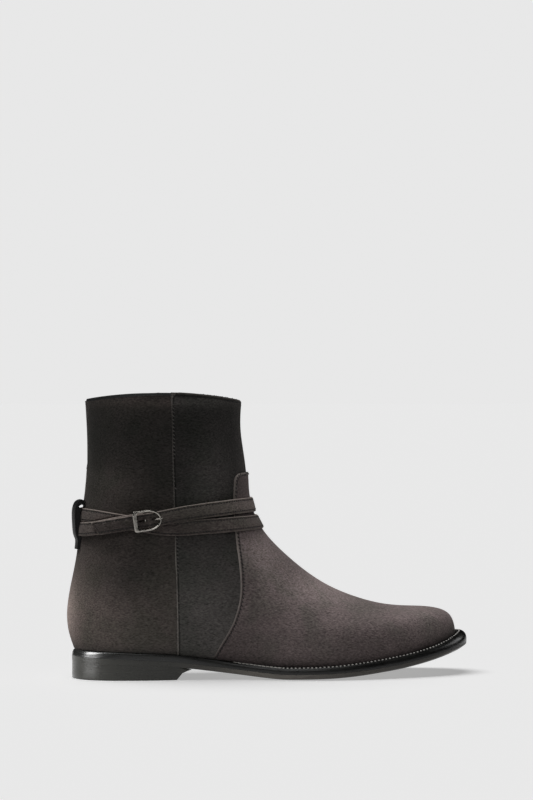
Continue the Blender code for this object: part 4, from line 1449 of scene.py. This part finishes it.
# %% Table of the edges
EDGE_COLUMNS = (
    "place", "welt_in", "welt_down", "sole_in", "sole_up", "lean", "out", "lift", "top_lift", "sewn"
)
EDGE_ROWS = (
    (-140.0, 1.20, 1.80, 0.04, 0.04, 0.60, 0.0, 0.00, 0.00, 0.15),
    (-119.0, 1.20, 1.80, 0.04, 0.04, 0.60, 0.0, 0.00, 0.00, 0.15),
    (-110.0, 0.60, 0.90, 0.04, 0.04, 0.30, 0.0, 0.00, 0.00, 0.15),
    (-104.0, 0.30, 0.40, 0.04, 0.04, 0.10, 0.0, 0.00, 0.00, 0.15),
    (-60.0, 0.30, 0.40, 0.04, 0.04, 0.00, 0.0, 0.00, 0.00, 0.15),
    (-50.0, 0.60, 1.20, 0.60, 0.50, 0.00, 0.0, 0.00, 0.00, 0.15),
    (-37.0, 0.60, 1.20, 0.80, 0.60, 0.00, 0.0, 0.00, 0.00, 0.15),
    (-30.0, 1.60, 1.30, 0.80, 0.60, 0.00, 0.0, 0.00, 0.00, 0.15),
    (-6.0, 1.60, 1.30, 1.00, 0.80, 0.00, 0.0, 0.10, 0.10, 0.15),
    (4.0, 1.60, 1.25, 1.00, 0.80, 0.00, 0.0, 0.20, 0.20, 0.15),
    (36.0, 2.30, 1.20, 1.20, 0.90, 0.00, 0.0, 0.85, 1.00, 0.15),
    (54.0, 2.50, 1.30, 1.20, 0.90, 0.00, 0.0, 1.10, 1.60, 0.15),
    (70.0, 2.60, 1.35, 1.20, 0.90, 0.00, 0.0, 1.10, 1.60, 0.15),
    (82.0, 2.70, 1.40, 1.20, 0.90, 0.00, 0.1, 0.60, 1.20, 0.15),
    (96.0, 2.90, 1.60, 1.50, 1.10, 0.00, 0.4, 0.20, 0.80, 0.15),
    (108.0, 3.10, 1.80, 2.00, 1.50, 0.00, 0.8, -0.30, 0.35, 0.05),
    (118.0, 3.35, 2.10, 2.50, 1.90, 0.00, 1.1, -0.80, 0.20, -0.10),
    (131.0, 3.60, 2.40, 3.00, 2.30, 0.00, 1.5, -1.30, 1.20, -0.60),
)
EDGES = dict(zip(EDGE_COLUMNS, np.array(EDGE_ROWS).T))
FLAT = np.array((1.0, 1.0, 0.0))
UP = np.array((0.0, 0.0, 1.0))


def edge_columns(layer):
    """Points of a layer's edge: in each row bottom rim, bottom wall, top wall and top rim."""
    points = points_of(layer)
    tree = search_tree(points * FLAT)
    pairs = set()
    for point in points * FLAT:
        both = [found[1] for found in tree.find_n(point, 2)]
        pairs.add(tuple(sorted(both, key=lambda index: points[index, 2])))
    pairs = np.array(sorted(pairs))
    tall = points[pairs[:, 1], 2] - points[pairs[:, 0], 2]
    is_wall = tall < (tall.min() + tall.max()) / 2
    wall, rim = pairs[is_wall], pairs[~is_wall]
    tree = search_tree(points[rim[:, 0]] * FLAT)
    beside = [tree.find(point)[1] for point in points[wall[:, 0]] * FLAT]
    return np.column_stack((rim[beside, 0], wall, rim[beside, 1]))


def edge_sizes(layer, columns):
    """The table's sizes for each row of edge points."""
    places = points_of(layer)[columns[:, 1], 0] / MM
    return {name: np.interp(places, EDGES["place"], EDGES[name]) * MM for name in EDGE_COLUMNS[1:]}


print("places along the edge:", len(EDGE_ROWS))


# %% Cutting the edges anew
def mend_tip(layer, columns):
    """Lays three plain faces between the two foremost columns, where the solid's triangles cut a corner."""
    tip = columns[np.argsort(points_of(layer)[columns[:, 1], 0])[-2:]]
    shape = bmesh.new()
    shape.from_mesh(layer.data)
    shape.verts.ensure_lookup_table()
    left, right = ([shape.verts[index] for index in column] for column in tip)
    around = set(left + right)
    cut_across = [face for face in shape.faces if around.issuperset(face.verts)]
    bmesh.ops.delete(shape, geom=cut_across, context="FACES")
    for step in range(3):
        shape.faces.new((left[step], right[step], right[step + 1], left[step + 1]))
    bmesh.ops.recalc_face_normals(shape, faces=shape.faces)
    shape.to_mesh(layer.data)
    shape.free()


def upright(values):
    """Numbers as a column, to go with rows of points."""
    return np.reshape(values, (-1, 1))


def trim(layer, columns, top, bottom, out, lean=0.0):
    """Gives an edge other slopes: each says how far it goes in, how far along the wall and its rise."""
    points = points_of(layer)
    low_rim, low_wall, _, high_rim = (points[column] for column in columns.T)
    inward = unit((low_rim - low_wall) * FLAT)
    corner = (low_wall - inward * upright(out)) * FLAT
    moved = []
    for rim, (reach, along_wall, rise) in ((low_rim, bottom), (high_rim, top)):
        here = corner + (rim + upright(rise)) * UP
        moved.append(here + inward * upright(reach))
        moved.append(here + UP * upright(along_wall))
    tip = inward * upright(lean)
    points[columns] = np.stack((moved[0], moved[1], moved[3] + tip, moved[2] + tip), axis=1)
    move_points(layer, points)


def set_rings(layer, columns, wide):
    """Sets a ring of faces inside each rim, so that the rim is rounded evenly."""
    for rim in (set(columns[:, 0]), set(columns[:, 3])):
        edit(layer, "FACE")
        shape = bmesh.from_edit_mesh(layer.data)
        for face in shape.faces:
            face.select_set(rim.issuperset(vert.index for vert in face.verts))
        bmesh.update_edit_mesh(layer.data)
        bpy.ops.mesh.inset(thickness=wide)
        bpy.ops.object.mode_set(mode="OBJECT")


# %% Smoothing and burnishing
WAIST_BACK = -75.0
WAIST_RUN = 60.0


def smooth_layer(layer, finish, sharp, levels, bevel=0.0):
    """Smooths a layer along its outline and breaks its edges."""
    soften(layer, sharp, levels)
    if bevel:
        break_edges(layer, bevel, segments=2, sharp=30.0)
    layer.data.materials.append(finish)
    shade(layer, 60.0)
    apply(layer, "WEIGHTED_NORMAL", keep_sharp=True)


def burnish(layer, finish, slot, node, sharp, levels, bevel=0.0):
    """Smooths a layer, keeps how far forward each of its points is, and hands it over as polished."""
    smooth_layer(layer, finish, sharp, levels, bevel)
    forward = (points_of(layer)[:, 0] / MM - WAIST_BACK) / WAIST_RUN
    store(layer, "forward", np.clip(forward, 0.0, 1.0))
    place_piece(layer, slot, node, polished=True)


# %% Welt and outsole
FLAT_EDGES = 30.0
RING_WIDE = 1.5 * MM
JOINT_EDGE = 0.04 * MM
HALF_GAP = 0.14 * MM
SOLE_OUT = 0.22 * MM

welt = copy_of("welt", "welt_edge_leather", FLAT_EDGES)
columns = edge_columns(welt)
mend_tip(welt, columns)
sizes = edge_sizes(welt, columns)
welt_top = (sizes["welt_in"], -sizes["welt_down"], sizes["top_lift"])
welt_bottom = (JOINT_EDGE, JOINT_EDGE, sizes["lift"] - HALF_GAP)
trim(welt, columns, welt_top, welt_bottom, sizes["out"], sizes["lean"])
_, _, slope_foot, slope_top = (points_of(welt)[column] for column in columns.T)
sewn_row = slope_top + (slope_foot - slope_top) * upright(sizes["sewn"] / MM)
set_rings(welt, columns, RING_WIDE)
burnish(welt, welt_edge, "welt_edge", "welt", sharp=65.0, levels=2, bevel=0.1 * MM)

outsole = copy_of("outsole", "outsole_leather", FLAT_EDGES)
columns = edge_columns(outsole)
mend_tip(outsole, columns)
sizes = edge_sizes(outsole, columns)
sole_top = (JOINT_EDGE, -JOINT_EDGE, sizes["lift"] + HALF_GAP)
sole_bottom = (sizes["sole_in"], sizes["sole_up"], sizes["lift"])
trim(outsole, columns, sole_top, sole_bottom, SOLE_OUT + sizes["out"])
set_rings(outsole, columns, RING_WIDE)
burnish(outsole, sole_edge, "sole_edge", "outsole", sharp=40.0, levels=2)

# %% Heel and insole
HEEL_TAPER = 0.3 * MM
HEEL_TOP = 8.6 * MM
HEEL_ROUND = 0.9 * MM
HEEL_SHARP = 25.0
FLOOR = 0.1 * MM
RIM_SHARP = math.radians(60.0)
BREAST_FACING = 0.5
LEVEL_FACING = 0.3


def fit_flush(piece, above, below):
    """Moves the side of a heel piece out to the sole's edge and closes the gaps above and below it."""
    points = points_of(piece)
    normals = normals_of(piece)
    heading = unit(normals * FLAT)
    taper = HEEL_TAPER * np.clip(1.0 - points[:, 2] / HEEL_TOP, 0.0, 1.0)
    side = heading[:, 0] < BREAST_FACING
    points[side] += heading[side] * (SOLE_OUT + taper)[side, None]
    points[:, 2] += np.where(normals[:, 2] > LEVEL_FACING, above, 0.0)
    points[:, 2] -= np.where(normals[:, 2] < -LEVEL_FACING, below, 0.0)
    move_points(piece, points)


def round_foot(piece, width):
    """Rounds the rim of a piece's flat underside."""
    edit(piece, "EDGE")
    shape = bmesh.from_edit_mesh(piece.data)
    for edge in shape.edges:
        if max(vert.co.z for vert in edge.verts) < FLOOR and edge.calc_face_angle() > RIM_SHARP:
            edge.select_set(True)
    bmesh.update_edit_mesh(piece.data)
    bpy.ops.mesh.bevel(offset=width, segments=3)
    bpy.ops.object.mode_set(mode="OBJECT")


heel_stack = copy_of("heel_stack", "heel_stack_leather")
fit_flush(heel_stack, 2.0 * HALF_GAP, HALF_GAP)
burnish(heel_stack, heel_leather, "heel_leather", "heel_stack", HEEL_SHARP, levels=1)
top_lift = copy_of("heel_top_lift", "heel_top_rubber")
fit_flush(top_lift, HALF_GAP, 0.0)
round_foot(top_lift, HEEL_ROUND)
burnish(top_lift, heel_rubber, "heel_rubber", "heel_top_lift", HEEL_SHARP, levels=1)
insole = copy_of("insole", "insole_board")
smooth_layer(insole, insole_leather, HEEL_SHARP, levels=1, bevel=0.3 * MM)
place_piece(insole, "insole_leather", "insole", polished=True)

# %% [markdown]
# ## Welt stitches
#
# A pale thread sews the welt to the sole along the slope of its edge. At the forefoot each stitch stands
# out by itself. At the waist, long pale threads laid close as one fine line stand for the glint of light
# along the welt's top edge: a painted highlight. So one row of places gets stitches and painted highlight.

# %% Welt stitches
WELT_PITCH = 2.7 * MM
WELT_STITCH = model_stitch(1.5 * MM, 1.1 * MM, 1.1 * MM)
# Long, close threads at the waist: a painted highlight, the glint along the welt's top edge.
GLINT_THREAD = model_stitch(3.0 * MM, 0.9 * MM, 0.9 * MM)
WELT_SUNK = 0.08 * MM
GLINT_STARTS = -29.0 * MM
GLINT_ENDS = 2.0 * MM
FOREFOOT_MIDDLE = 45.0 * MM

row = sewn_row[sewn_row[:, 0] > GLINT_STARTS]
row = row[np.argsort(np.arctan2(row[:, 1], row[:, 0] - FOREFOOT_MIDDLE))]
welt_places = seam_places(welt, row, WELT_PITCH)
forefoot_places = [place for place in welt_places if place[0].x > GLINT_ENDS]
glint_places = [place for place in welt_places if place[0].x <= GLINT_ENDS]
sew("welt_stitches", WELT_STITCH, forefoot_places, welt_thread, "welt_edge", sunk=WELT_SUNK)
sew("waist_glint_thread", GLINT_THREAD, glint_places, welt_thread, "welt_edge")
